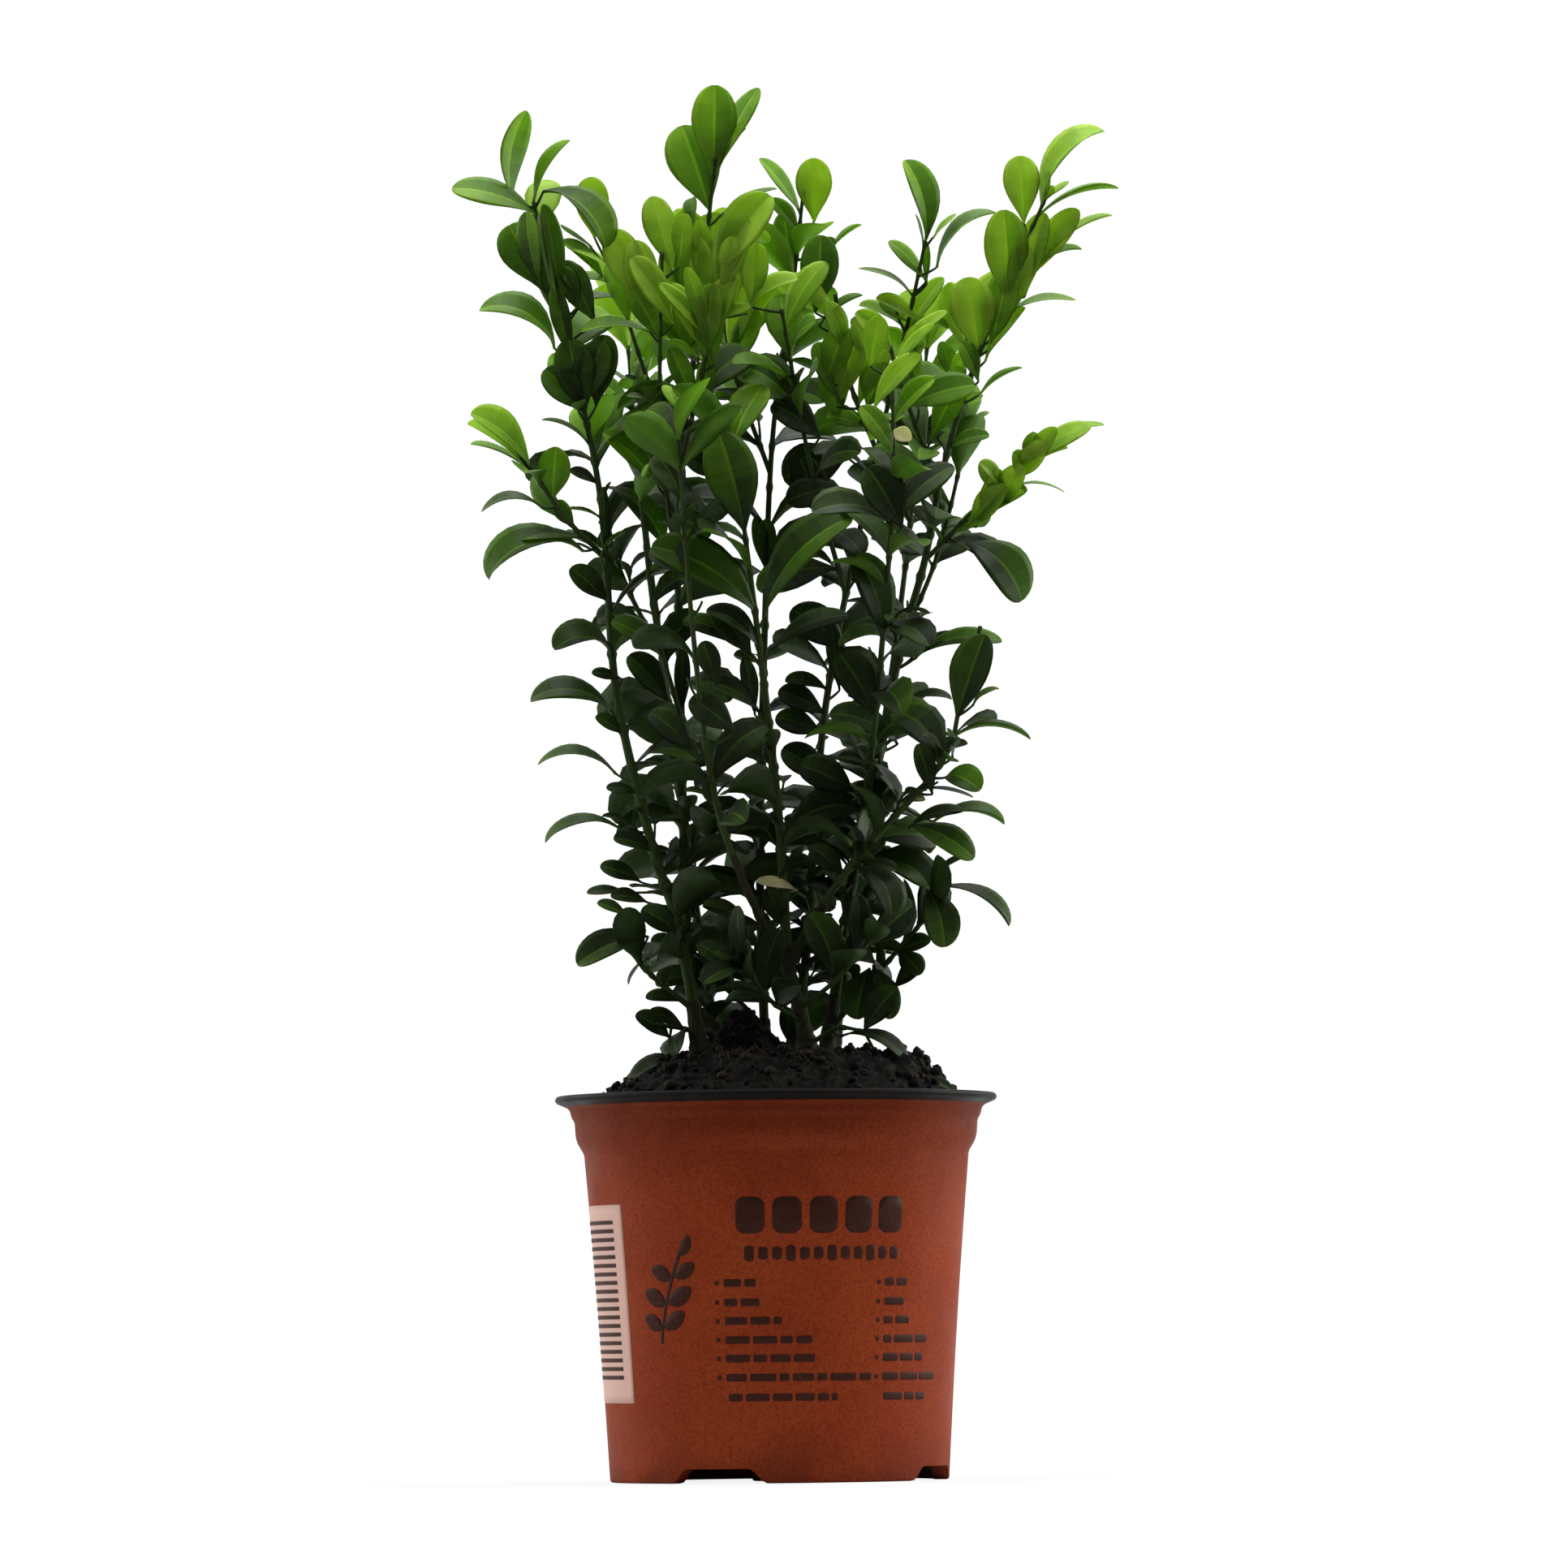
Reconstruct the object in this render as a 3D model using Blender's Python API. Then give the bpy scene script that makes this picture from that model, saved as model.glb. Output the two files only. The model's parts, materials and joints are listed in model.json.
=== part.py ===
"""A young box plant with several stems, in a round nursery pot.

Lengths are millimetres until a mesh is made. +Z is up, -Y is the front, and the origin is the middle of
the pot's underside. The plant is a set of axes: each is one smooth line, bare at first (its stem or
bough) and leafy further on (its shoot). A shoot is one solid: the line, its side twigs and its leaves.
"""

import math
import random
from typing import NamedTuple

import bmesh
import bpy
import numpy as np
from mathutils import Vector
from mathutils.bvhtree import BVHTree

MM = 0.001
GAP = 0.3  # between two pieces that touch

# Pot
POT_HEIGHT = 113.0
RIM_RADIUS = 65.0
LIP_HEIGHT = 2.2  # of the rim's outer edge
LIP_ROUND = 0.6
BAND_RADIUS = 60.1  # the band between the collar and the rim
BAND_FOOT = 105.4
BAND_BEVEL = 1.4
COLLAR_RADIUS = 59.2
COLLAR_TAPER = 0.9  # how much narrower the collar is at its foot
COLLAR_FOOT = 96.0  # height where the wall begins to step out to the collar
STEP_HEIGHT = 3.0
WALL_TOP_RADIUS = 56.5
FOOT_RADIUS = 50.0
FOOT_WIDTH = 5.0  # of the ring that the pot stands on
FOOT_BEVEL = 1.0
WALL = 1.2
FLOOR_TOP = 6.0  # the floor's upper face
HUB_RADIUS = 8.0  # of the boss in the middle of the underside
POT_SIDES = 40
NOTCHES = 4  # in the foot ring
NOTCH_TURN = -21.5  # degrees from the front to the first notch
NOTCH_HEIGHT = 4.2
NOTCH_WIDE = 30.0  # at the ground
NOTCH_NARROW = 19.5  # at its roof
NOTCH_STEPS = 5  # heights along its curved shoulders
DRAIN_RADIUS = 4.0
DRAIN_AT = 30.0
DRAIN_SIDES = 12
CUTTER_ROOM = 2.0  # how far a cutter runs past what it cuts
SHARP_ANGLE = 35.0  # degrees between faces that keep a hard edge
SEAM = 0.001  # points nearer than this are one, where the turned profile meets itself

# Soil
SOIL_EDGE = 109.0  # height against the wall
SOIL_ROOM = 0.5  # between soil and wall, both of them faceted
MOUND_TOP = 124.0
MOUND_RADIUS = 33.0
MOUND_CENTRE = (6.0, 0.0)
PLUG_CENTRE = (-9.0, 3.0)
PLUG_RADIUS = 9.0
PLUG_HEIGHT = 13.0
FALL_CURVE = 1.4  # above 1 the mound falls slowly at first
LUMPS = ((0.6, 0.31, 0.27, 1.4), (0.6, 0.31, -0.27, 0.6), (0.65, 0.53, -0.47, 2.0), (0.6, 0.66, 0.24, 0.3),
         (0.6, -0.18, 0.68, 3.1))  # waves: height, radians a mm along x and along y, and where it starts
SOIL_RINGS = 15
SOIL_SIDES = 40
ABOVE_ALL = 500.0  # a height to look down on the soil from

# Stems
SPLINE_STEPS = 16  # between two waypoints
LINE_STEP = 1.0  # between the points of a line that other things are measured along
STEM_SIDES = 8
STEM_STEP = 14.0  # between the rings of a bare stem
FLARE = 0.7  # how much wider a stem is at the soil
FLARE_REACH = 4.0
TWIG_SIDES = 3
TWIG_STEP = 20.0
CORE_STEP = 0.5  # between the places on a twig's middle where a leaf may be rooted
START_STEP = 0.1  # how finely a limb's clear beginning is looked for
START_WITHIN = 8.0  # and how far along it
TWIG_GIRTH = 0.85  # radius of a side twig at its root
TIP_GIRTH = 0.55
UNION_SEAM = 0.0001  # points nearer than this after a union are one
FOOT_CHECKS = 8  # directions in which the soil under a stem's foot is felt for

# Leaves
LEAF_WIDTH = 0.6  # of its length
LEAF_THICKNESS = 0.4
LEAF_FOLD = 0.14  # how far the edges rise over the midrib, of the half width
YOUNG_REACH = 45.0  # how far below a tip the leaves still stand up
YOUNG_ANGLE, OLD_ANGLE = 26.0, 48.0  # between leaf and stem at the leaf's root
YOUNG_BEND, OLD_BEND = 20.0, 80.0  # how far the leaf curves over from root to tip
TIP_LEAF = 0.85  # length of the top pair against a full leaf
TIP_PITCH = 0.62  # spacing of the pairs at the tip against that of old ones
TWIG_PITCH = 0.85  # spacing on a side twig against that on its axis
FIRST_LEAF = 4.0  # from where the leafy stretch begins to its lowest pair
TWIG_BARE = 7.0  # the same on a side twig or a sprig
PAIR_SWING, SIDE_SWING = 12.0, 9.0  # degrees that a pair, and one leaf of it, may be turned off its place
ANGLE_SWING, BEND_SWING, ROLL_SWING = 14.0, 22.0, 50.0
SIZES = (0.86, 1.14)  # of a leaf, against its place's own length
SPACINGS = (0.92, 1.08)
MOST_PAIRS = 100  # on one line, so that each pair has its own random seed
TRIES = ((0, 0, 1), (16, 0, 1), (-16, 0, 1), (0, -14, 1), (0, 14, 0.95), (30, -8, 0.9), (-30, -8, 0.9),
         (22, 14, 0.8), (-22, 14, 0.8), (0, -8, 0.7), (40, 0, 0.7), (-40, 0, 0.7))  # turn, angle, size
WIDEST = 1.4  # how far past the middle the leaf is widest: half raised to one over this
FULLNESS = 0.8  # below 1 its sides are rounder than a sine's
RIM = ((0.45, 1), (0.9, 1), (0.9, -1), (0.45, -1))  # corners of a leaf's rim: how far along it, and the side
TIP_ROOM = 0.06  # how far the two corners at the tip are pushed on, so that the flat end covers the round one
OPENINGS = np.array([  # where the crown stays open: across and up in the plane y = 0, and radius
    (5, 400, 11), (24, 396, 9), (-7, 387, 6), (96, 386, 5), (28, 379, 10), (59, 382, 8), (-42, 373, 4),
    (35, 374, 8), (58, 359, 6), (25, 353, 4), (31, 351, 3), (87, 355, 5), (-81, 329, 12), (75, 334, 6),
    (-72, 319, 7), (-63, 317, 3), (73, 315, 8), (89, 325, 13), (-98, 313, 11), (-66, 308, 3),
    (71, 309, 6), (-84, 298, 6), (-45, 297, 3), (95, 298, 9), (-56, 290, 3), (57, 289, 3),
    (72, 282, 6), (-64, 272, 5), (-68, 261, 11), (-56, 258, 4), (54, 261, 9), (63, 256, 5),
    (72, 252, 6), (48, 238, 5), (-59, 223, 6), (37, 209, 3), (66, 214, 7), (-56, 204, 7), (59, 164, 6),
    (-49, 148, 5), (-47, 139, 7), (-38, 145, 3), (47, 139, 10), (-45, 128, 8)
])
OPEN_FROM = np.array([-0.5, -2567.0, 39.0])  # each opening runs straight back through the crown from here
KEEL_AT = 0.5
LEAF_FACES = [(0, 4, 1), (1, 3, 2), (1, 4, 3), (0, 1, 5), (1, 2, 5), (2, 3, 5), (3, 4, 5), (4, 0, 5)]


class Axis(NamedTuple):
    """One line of growth: waypoints from its foot, and how it is clothed."""

    name: str
    parent: str  # "" for a stem that stands in the soil, at whatever height that has there
    points: tuple  # (x, y, z) along the line; the first is its foot, or is near where it leaves its parent
    bare_to: float  # height at which leaves begin; 0 for a sprig that is leafy from its root
    girth: float  # radius at the foot
    face: float  # direction of the top pair of leaves, degrees from +X
    seed: int
    leaf: float  # length of a full leaf
    pitch: float  # between pairs of leaves
    twigs: tuple = ()  # side twigs: (waypoints, face, seed, leaf)


AXES = (
    Axis("left", "", ((-22, -6, 0), (-28, -6, 162), (-36, -4, 188), (-46, 0, 234), (-50, 4, 290),
                      (-60, 2, 340), (-69, 0, 378)), 140, 1.9, 140, 27, 27, 12,
         ((((-49.5, 3, 272), (-60, -8, 283), (-71, -20, 298), (-79, -26, 308)), 10, 75, 22),)),
    Axis("mid_left", "", ((-17, 9, 0), (-25, 10, 150), (-27, 10, 238), (-27, 12, 290),
                          (-21, 8, 340), (-15, 2, 391)), 138, 1.7, 130, 911, 27, 13,
         ((((-27, 12, 296), (-36, 14, 326), (-46, 12, 358)), 80, 325, 25),
          (((-27, 11, 268), (-32, 0, 310), (-31, -4, 362)), 80, 515, 25),
          (((-27, 12, 302), (-18, -6, 332), (-12, -12, 354)), 130, 182, 24),
          (((-27, 10, 225), (-34, -4, 252), (-38, -14, 288)), 80, 412, 23))),
    Axis("centre", "", ((10, -8, 0), (8, -8, 135), (4, -8, 152), (2, -10, 190), (-2, -14, 231),
                        (-8, -20, 282), (-11, -22, 303)), 156, 2.0, 40, 259, 28, 13),
    Axis("front_left", "centre", ((5, -8, 148), (-7, -15, 171), (-17, -24, 200), (-23, -32, 250),
                                  (-27, -36, 312)), 182, 1.3, 30, 246, 25, 13),
    Axis("low_right", "centre", ((4.4, -8, 150), (11, -12, 163), (25, -21, 182), (49, -30, 208),
                                 (55, -31, 226), (61, -32, 248)), 168, 1.4, 40, 596, 24, 11),
    Axis("right", "", ((15, 7, 0), (23, 8, 174), (31, 8, 210), (38, 6, 244), (45.5, 4, 270),
                       (52, 1, 300), (64, -2, 336), (82, -6, 376)), 142, 2.0, 120, 209, 27, 13,
         ((((45.5, 4, 270), (57, -7, 281), (72, -16, 296), (84, -20, 306)), 160, 795, 21),
          (((50, 2, 293), (42, -12, 312), (34, -16, 338)), 10, 631, 24),
          (((56, 0, 312), (58, 14, 326), (58, 20, 342)), 160, 838, 24))),
    Axis("back", "", ((5, 17, 0), (10, 18, 160), (16, 20, 229), (31, 24, 300), (41, 16, 340),
                      (47, 8, 366)), 133, 1.6, 130, 622, 26, 13,
         ((((22, 22, 262), (12, 4, 300), (4, -10, 344)), 120, 876, 25),
          (((32, 23, 305), (24, 10, 325), (20, 4, 350)), 130, 67, 24))),
    Axis("back_mid", "", ((-3, 26, 0), (-4, 34, 180), (-2, 40, 250), (1, 36, 310), (7, 28, 350),
                          (11, 20, 383)), 136, 1.6, 120, 57, 26, 14,
         ((((0, 37, 300), (-10, 34, 330), (-16, 32, 362)), 20, 174, 25),)),
    Axis("back_left", "", ((-17, 23, 0), (-24, 36, 175), (-32, 48, 240), (-39, 57, 300),
                           (-43, 60, 350)), 132, 1.6, 150, 522, 26, 14,
         ((((-33, 49, 246), (-46, 40, 275), (-55, 34, 318)), 30, 138, 25),)),
    Axis("back_right", "", ((17, 25, 0), (25, 37, 175), (36, 49, 240), (44, 57, 300),
                            (48, 58, 340)), 134, 1.6, 120, 121, 26, 14,
         ((((37, 50, 246), (50, 38, 275), (60, 32, 314)), 110, 344, 25),)),
    Axis("front_right", "right", ((22.5, 8, 170), (28, -8, 204), (33, -24, 250), (36, -34, 290),
                                  (36, -38, 322)), 190, 1.3, 120, 80, 25, 12),
    Axis("low_left", "left", ((-24.5, -6, 138), (-36, -12, 148), (-43, -14, 156)), 0, 1.0, 30, 7, 20, 8),
    Axis("foot_left", "mid_left", ((-19, 9, 129), (-28, 1, 133), (-35, -5, 134)), 0, 0.9, 140, 409, 19, 8),
    Axis("foot_front", "centre", ((9.4, -8, 127), (18, -12, 132), (26, -14, 131)), 0, 0.9, 30, 273, 20, 8),
    Axis("low_back", "back_mid", ((-3.4, 28.6, 134), (-11, 22, 142), (-20, 19, 150)), 0, 0.9,
         10, 762, 21, 8),
    Axis("low_front", "centre", ((7.6, -8, 138), (18, -17, 146), (27, -23, 156)), 0, 0.9, 70, 935, 21, 8),
    Axis("low_middle", "centre", ((8, -8, 134), (-1, -15, 140), (-9, -22, 150)), 0, 0.9, 50, 875, 21, 8),
    Axis("foot_right", "right", ((17, 7, 132), (30, 0, 148), (46, -6, 166)), 0, 1.0, 0, 694, 23, 9),
)


# Lines

def smooth_line(points, step):
    """A Catmull-Rom curve through the points, cut into equal steps of its length."""
    points = np.asarray(points, float)
    ends = np.vstack([2 * points[0] - points[1], points, 2 * points[-1] - points[-2]])
    t = np.linspace(0, 1, SPLINE_STEPS, endpoint=False)[:, None]
    spans = [
        0.5 * (2 * b + (c - a) * t + (2 * a - 5 * b + 4 * c - d) * t**2 + (3 * b - a - 3 * c + d) * t**3)
        for a, b, c, d in zip(ends, ends[1:], ends[2:], ends[3:])
    ]
    return even_steps(np.vstack(spans + [points[-1:]]), step)


def even_steps(line, step):
    """The same line cut into equal steps of about that length."""
    run = lengths(line)
    at = np.linspace(0, run[-1], max(3, round(run[-1] / step) + 1))
    return np.column_stack([np.interp(at, run, line[:, k]) for k in range(3)])


def lengths(line):
    """The length along the line up to each of its points."""
    return np.concatenate([[0], np.cumsum(np.linalg.norm(np.diff(line, axis=0), axis=1))])


def unit(vectors):
    """The same directions, one long."""
    return vectors / np.linalg.norm(vectors, axis=-1, keepdims=True)


def frames(line, ahead=None):
    """Along each point of a line: its direction, and two directions square to it, the first near +X."""
    if ahead is None:
        ahead = unit(np.gradient(line, axis=0))
    across = unit(np.array([1.0, 0, 0]) - ahead[:, :1] * ahead)
    return ahead, across, np.cross(ahead, across)


def at_run(line, run):
    """The point of a line, and its frame, at a length along it."""
    far = lengths(line)
    ahead, across, beside = frames(line)
    pick = [np.array([np.interp(run, far, v[:, k]) for k in range(3)]) for v in (line, ahead, across, beside)]
    return pick[0], unit(pick[1]), unit(pick[2]), unit(pick[3])


def piece(line, start, end, step):
    """The stretch of a line between two lengths along it, and the line's direction at each of its points."""
    run = lengths(line)
    at = np.linspace(start, end, max(3, round((end - start) / step) + 1))
    return [np.column_stack([np.interp(at, run, v[:, k]) for k in range(3)]) for v in (line, frames(line)[0])]


def run_at_height(line, height):
    """The length along a rising line at which it reaches a height."""
    return float(np.interp(height, line[:, 2], lengths(line)))


# Meshes

def rings(line, radii, sides, ahead=None):
    """Corners round each point of a line, square to it."""
    _, across, beside = frames(line, ahead)
    turn = np.arange(sides) * 2 * math.pi / sides + math.pi / 2
    round_it = np.cos(turn)[None, :, None] * across[:, None] + np.sin(turn)[None, :, None] * beside[:, None]
    return line[:, None] + np.reshape(radii, (-1, 1, 1)) * round_it


def tube(line, radii, sides, ahead=None, level_foot=False):
    """The rings of a line joined into a closed tube; its foot may be cut level."""
    points = rings(line, radii, sides, ahead).reshape(-1, 3)
    if level_foot:
        points[:sides, 2] = line[0, 2]
    faces = [tuple(reversed(range(sides))), tuple(range(len(points) - sides, len(points)))]
    for row in range(len(line) - 1):
        for k in range(sides):
            a, b = row * sides + k, row * sides + (k + 1) % sides
            faces += [(a, b, b + sides), (a, b + sides, a + sides)]
    return points, faces


def new_object(name, points, faces, material=None):
    """A mesh object from points in millimetres and its faces."""
    mesh = bpy.data.meshes.new(name)
    mesh.from_pydata((np.asarray(points) * MM).tolist(), [], faces)
    mesh.validate()
    obj = bpy.data.objects.new(name, mesh)
    bpy.context.scene.collection.objects.link(obj)
    if material:
        mesh.materials.append(material)
    return obj


def finish_material(name, colour, roughness):
    material = bpy.data.materials.new(name)
    material.use_nodes = True
    shader = material.node_tree.nodes["Principled BSDF"]
    shader.inputs["Base Color"].default_value = (*colour, 1)
    shader.inputs["Roughness"].default_value = roughness
    shader.inputs["Metallic"].default_value = 0.0
    return material


# Pot

def inner_wall():
    """Radius and height down the inside of the wall, from below the rim to the floor."""
    return (
        (COLLAR_RADIUS - WALL, BAND_FOOT), (COLLAR_RADIUS - COLLAR_TAPER - WALL, COLLAR_FOOT + STEP_HEIGHT),
        (WALL_TOP_RADIUS - WALL, COLLAR_FOOT), (FOOT_RADIUS - WALL, FLOOR_TOP),
    )


def pot_profile():
    """Half of the pot's section, from the middle of the underside round the rim to the middle of the floor."""
    lip_foot = POT_HEIGHT - LIP_HEIGHT
    return (
        (0, 0), (HUB_RADIUS, 0), (HUB_RADIUS, NOTCH_HEIGHT), (FOOT_RADIUS - FOOT_WIDTH, NOTCH_HEIGHT),
        (FOOT_RADIUS - FOOT_WIDTH, 0), (FOOT_RADIUS - FOOT_BEVEL, 0), (FOOT_RADIUS, FLOOR_TOP),
        (WALL_TOP_RADIUS, COLLAR_FOOT), (COLLAR_RADIUS - COLLAR_TAPER, COLLAR_FOOT + STEP_HEIGHT),
        (COLLAR_RADIUS, BAND_FOOT), (BAND_RADIUS, BAND_FOOT + BAND_BEVEL),
        (BAND_RADIUS + LIP_ROUND, lip_foot - BAND_BEVEL), (RIM_RADIUS - LIP_ROUND, lip_foot),
        (RIM_RADIUS, lip_foot + LIP_HEIGHT / 2), (RIM_RADIUS - LIP_ROUND, POT_HEIGHT), (BAND_RADIUS, POT_HEIGHT),
        *inner_wall(), (0, FLOOR_TOP),
    )


def turned(name, profile, sides, material):
    """The profile spun about the Z axis."""
    shape = bmesh.new()
    corners = [shape.verts.new((r * MM, 0, z * MM)) for r, z in profile]
    edges = [shape.edges.new(pair) for pair in zip(corners, corners[1:])]
    bmesh.ops.spin(shape, geom=corners + edges, cent=(0, 0, 0), axis=(0, 0, 1), angle=2 * math.pi,
                   steps=sides, use_merge=True)
    bmesh.ops.remove_doubles(shape, verts=shape.verts[:], dist=SEAM * MM)
    bmesh.ops.recalc_face_normals(shape, faces=shape.faces[:])
    mesh = bpy.data.meshes.new(name)
    shape.to_mesh(mesh)
    shape.free()
    mesh.materials.append(material)
    mesh.shade_smooth()
    mesh.set_sharp_from_angle(angle=math.radians(SHARP_ANGLE))
    obj = bpy.data.objects.new(name, mesh)
    bpy.context.scene.collection.objects.link(obj)
    return obj


def cutter(name, points, faces):
    """A solid that only cuts: it isn't rendered."""
    obj = new_object(name, points, faces)
    obj.hide_render = True
    obj.display_type = "WIRE"
    return obj


def notch_cutter(turn, name):
    """A prism through the foot ring: wide at the ground, with shoulders that ease in to a flat roof."""
    share = np.linspace(0, 1, NOTCH_STEPS)
    half = (NOTCH_WIDE + (NOTCH_NARROW - NOTCH_WIDE) * share) / 2
    height = NOTCH_HEIGHT * (1 - np.cos(math.pi * share)) / 2
    right = [(half[0], -CUTTER_ROOM), *zip(half, height)]
    section = right + [(-x, z) for x, z in reversed(right)]
    outward = np.array([math.cos(turn), math.sin(turn), 0])
    sideways = np.array([-math.sin(turn), math.cos(turn), 0])
    points = [
        outward * reach + sideways * x + np.array([0, 0, z])
        for reach in (FOOT_RADIUS - FOOT_WIDTH - CUTTER_ROOM, FOOT_RADIUS + CUTTER_ROOM)
        for x, z in section
    ]
    count = len(section)
    faces = [tuple(reversed(range(count))), tuple(range(count, 2 * count))]
    faces += [(k, (k + 1) % count, count + (k + 1) % count, count + k) for k in range(count)]
    return cutter(name, points, faces)


def drain_cutter(turn, name):
    """A round bar through the floor."""
    heights = (NOTCH_HEIGHT - CUTTER_ROOM, (NOTCH_HEIGHT + FLOOR_TOP) / 2, FLOOR_TOP + CUTTER_ROOM)
    line = [(DRAIN_AT * math.cos(turn), DRAIN_AT * math.sin(turn), z) for z in heights]
    points, faces = tube(np.array(line), [DRAIN_RADIUS] * len(line), DRAIN_SIDES)
    return cutter(name, points, faces)


def make_pot(material):
    """The turned pot, with four notches in its foot and a drain hole behind each."""
    pot = turned("pot", pot_profile(), POT_SIDES, material)
    for index in range(NOTCHES):
        turn = math.radians(NOTCH_TURN + index * 360 / NOTCHES - 90)
        for tool in (notch_cutter(turn, f"cut_notch_{index + 1}"), drain_cutter(turn, f"cut_drain_{index + 1}")):
            cut = pot.modifiers.new(tool.name, "BOOLEAN")
            cut.operation = "DIFFERENCE"
            cut.solver = "EXACT"
            cut.object = tool
    return pot


# Soil

def soil_height(x, y):
    """A mound that falls to the wall, with the lumpy plug that the plant was raised in standing up in it."""
    dx, dy = x - MOUND_CENTRE[0], y - MOUND_CENTRE[1]
    r = np.hypot(dx, dy) + 1e-6
    to_wall = WALL_TOP_RADIUS - (MOUND_CENTRE[0] * dx + MOUND_CENTRE[1] * dy) / r
    fall = np.clip((r - MOUND_RADIUS) / (to_wall - MOUND_RADIUS), 0, 1)
    mound = SOIL_EDGE + (MOUND_TOP - SOIL_EDGE) * (1 - fall**FALL_CURVE)
    away = np.hypot(x - PLUG_CENTRE[0], y - PLUG_CENTRE[1])
    plug = PLUG_HEIGHT * np.exp(-((away / PLUG_RADIUS) ** 3))
    lumps = sum(height * np.sin(along_x * x + along_y * y + start) for height, along_x, along_y, start in LUMPS)
    return mound + plug + lumps * (1 - fall**2)


def make_soil(material):
    """Rings of points on the soil's surface, closed by the pot's inner wall and floor, a gap clear of both."""
    radii, heights = zip(*sorted(inner_wall(), key=lambda corner: corner[1]))
    turn = np.arange(SOIL_SIDES) * 2 * math.pi / SOIL_SIDES
    points = [(0.0, 0.0, float(soil_height(0.0, 0.0)))]
    for ring in range(1, SOIL_RINGS + 1):
        r = (np.interp(COLLAR_FOOT + STEP_HEIGHT, heights, radii) - SOIL_ROOM) * ring / SOIL_RINGS
        x, y = r * np.cos(turn), r * np.sin(turn)
        points += list(zip(x, y, soil_height(x, y)))
    for z in (COLLAR_FOOT, FLOOR_TOP + GAP):
        r = np.interp(z, heights, radii) - SOIL_ROOM
        points += list(zip(r * np.cos(turn), r * np.sin(turn), np.full(SOIL_SIDES, z)))
    faces = [(0, 1 + k, 1 + (k + 1) % SOIL_SIDES) for k in range(SOIL_SIDES)]
    for ring in range(SOIL_RINGS + 1):
        for k in range(SOIL_SIDES):
            a = 1 + ring * SOIL_SIDES + k
            b = 1 + ring * SOIL_SIDES + (k + 1) % SOIL_SIDES
            faces += [(a, a + SOIL_SIDES, b + SOIL_SIDES), (a, b + SOIL_SIDES, b)]
    faces.append(tuple(reversed(range(len(points) - SOIL_SIDES, len(points)))))
    return new_object("soil", points, faces, material)


def ground_under(soil_tree, x, y, radius):
    """The soil's highest point under a round foot."""
    heights = []
    for turn in np.arange(FOOT_CHECKS) * 2 * math.pi / FOOT_CHECKS:
        for share in (0, 0.5, 1):
            above = Vector((x + share * radius * math.cos(turn), y + share * radius * math.sin(turn), ABOVE_ALL))
            heights.append(soil_tree.ray_cast(above, Vector((0, 0, -1)))[0].z)
    return max(heights)


# Leaves

def outline(t):
    """A leaf's half width along its length: a wedge at the root, widest past the middle, round at the tip."""
    return math.sin(math.pi * t**WIDEST) ** FULLNESS


class Leaf(NamedTuple):
    """A leaf whose midrib leaves its stem at an angle and curves evenly over."""

    root: np.ndarray
    axis: np.ndarray  # the stem's direction there
    out: np.ndarray  # away from the stem, square to it
    angle: float  # radians between stem and leaf at the root
    bend: float  # radians that the leaf curves over
    roll: float
    length: float

    def point(self, t, side, lift):
        """A point of the leaf: t along the midrib's arc, side across in mm, lift above it in mm."""
        here = self.angle + self.bend * t
        bend = self.bend if abs(self.bend) > 1e-3 else 1e-3
        along = (math.sin(self.angle + bend * t) - math.sin(self.angle)) / bend
        away = (math.cos(self.angle) - math.cos(self.angle + bend * t)) / bend
        across = np.cross(self.axis, self.out)
        upper = math.sin(here) * self.axis - math.cos(here) * self.out
        c, s = math.cos(self.roll), math.sin(self.roll)
        return (self.root + self.length * (along * self.axis + away * self.out)
                + side * (c * across + s * upper) + lift * (c * upper - s * across))

    def solid(self, swell=0.0):
        """Eight triangles: three over a rim of five corners, and five that meet below the midrib."""
        half = LEAF_WIDTH * self.length / 2
        rim = [self.point(0, 0, 0)]
        for t, side in RIM:
            wide = half * outline(t)
            rim.append(self.point(t + (TIP_ROOM + swell / self.length) * (t > 0.5), side * (wide + swell),
                                  LEAF_FOLD * wide + swell))
        keel = self.point(KEEL_AT, 0, -LEAF_THICKNESS - swell)
        return np.array(rim + [keel]), LEAF_FACES


def fills_opening(rim):
    """Whether any of thirty places spread over a leaf's rim and blade lies in an opening."""
    root, low_left, high_left, high_right, low_right = rim
    across = np.linspace(0, 1, 5)[:, None]
    low = low_left + (low_right - low_left) * across
    high = high_left + (high_right - high_left) * across
    places = np.vstack([root + (low - root) * share for share in (0.4, 0.7, 1)]
                       + [low + (high - low) * share for share in (0.33, 0.67, 1)])
    seen = OPEN_FROM + (places - OPEN_FROM) * (OPEN_FROM[1] / (OPEN_FROM[1] - places[:, 1:2]))
    away = np.hypot(seen[:, None, 0] - OPENINGS[:, 0], seen[:, None, 2] - OPENINGS[:, 1])
    return bool((away < OPENINGS[:, 2]).any())


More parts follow.
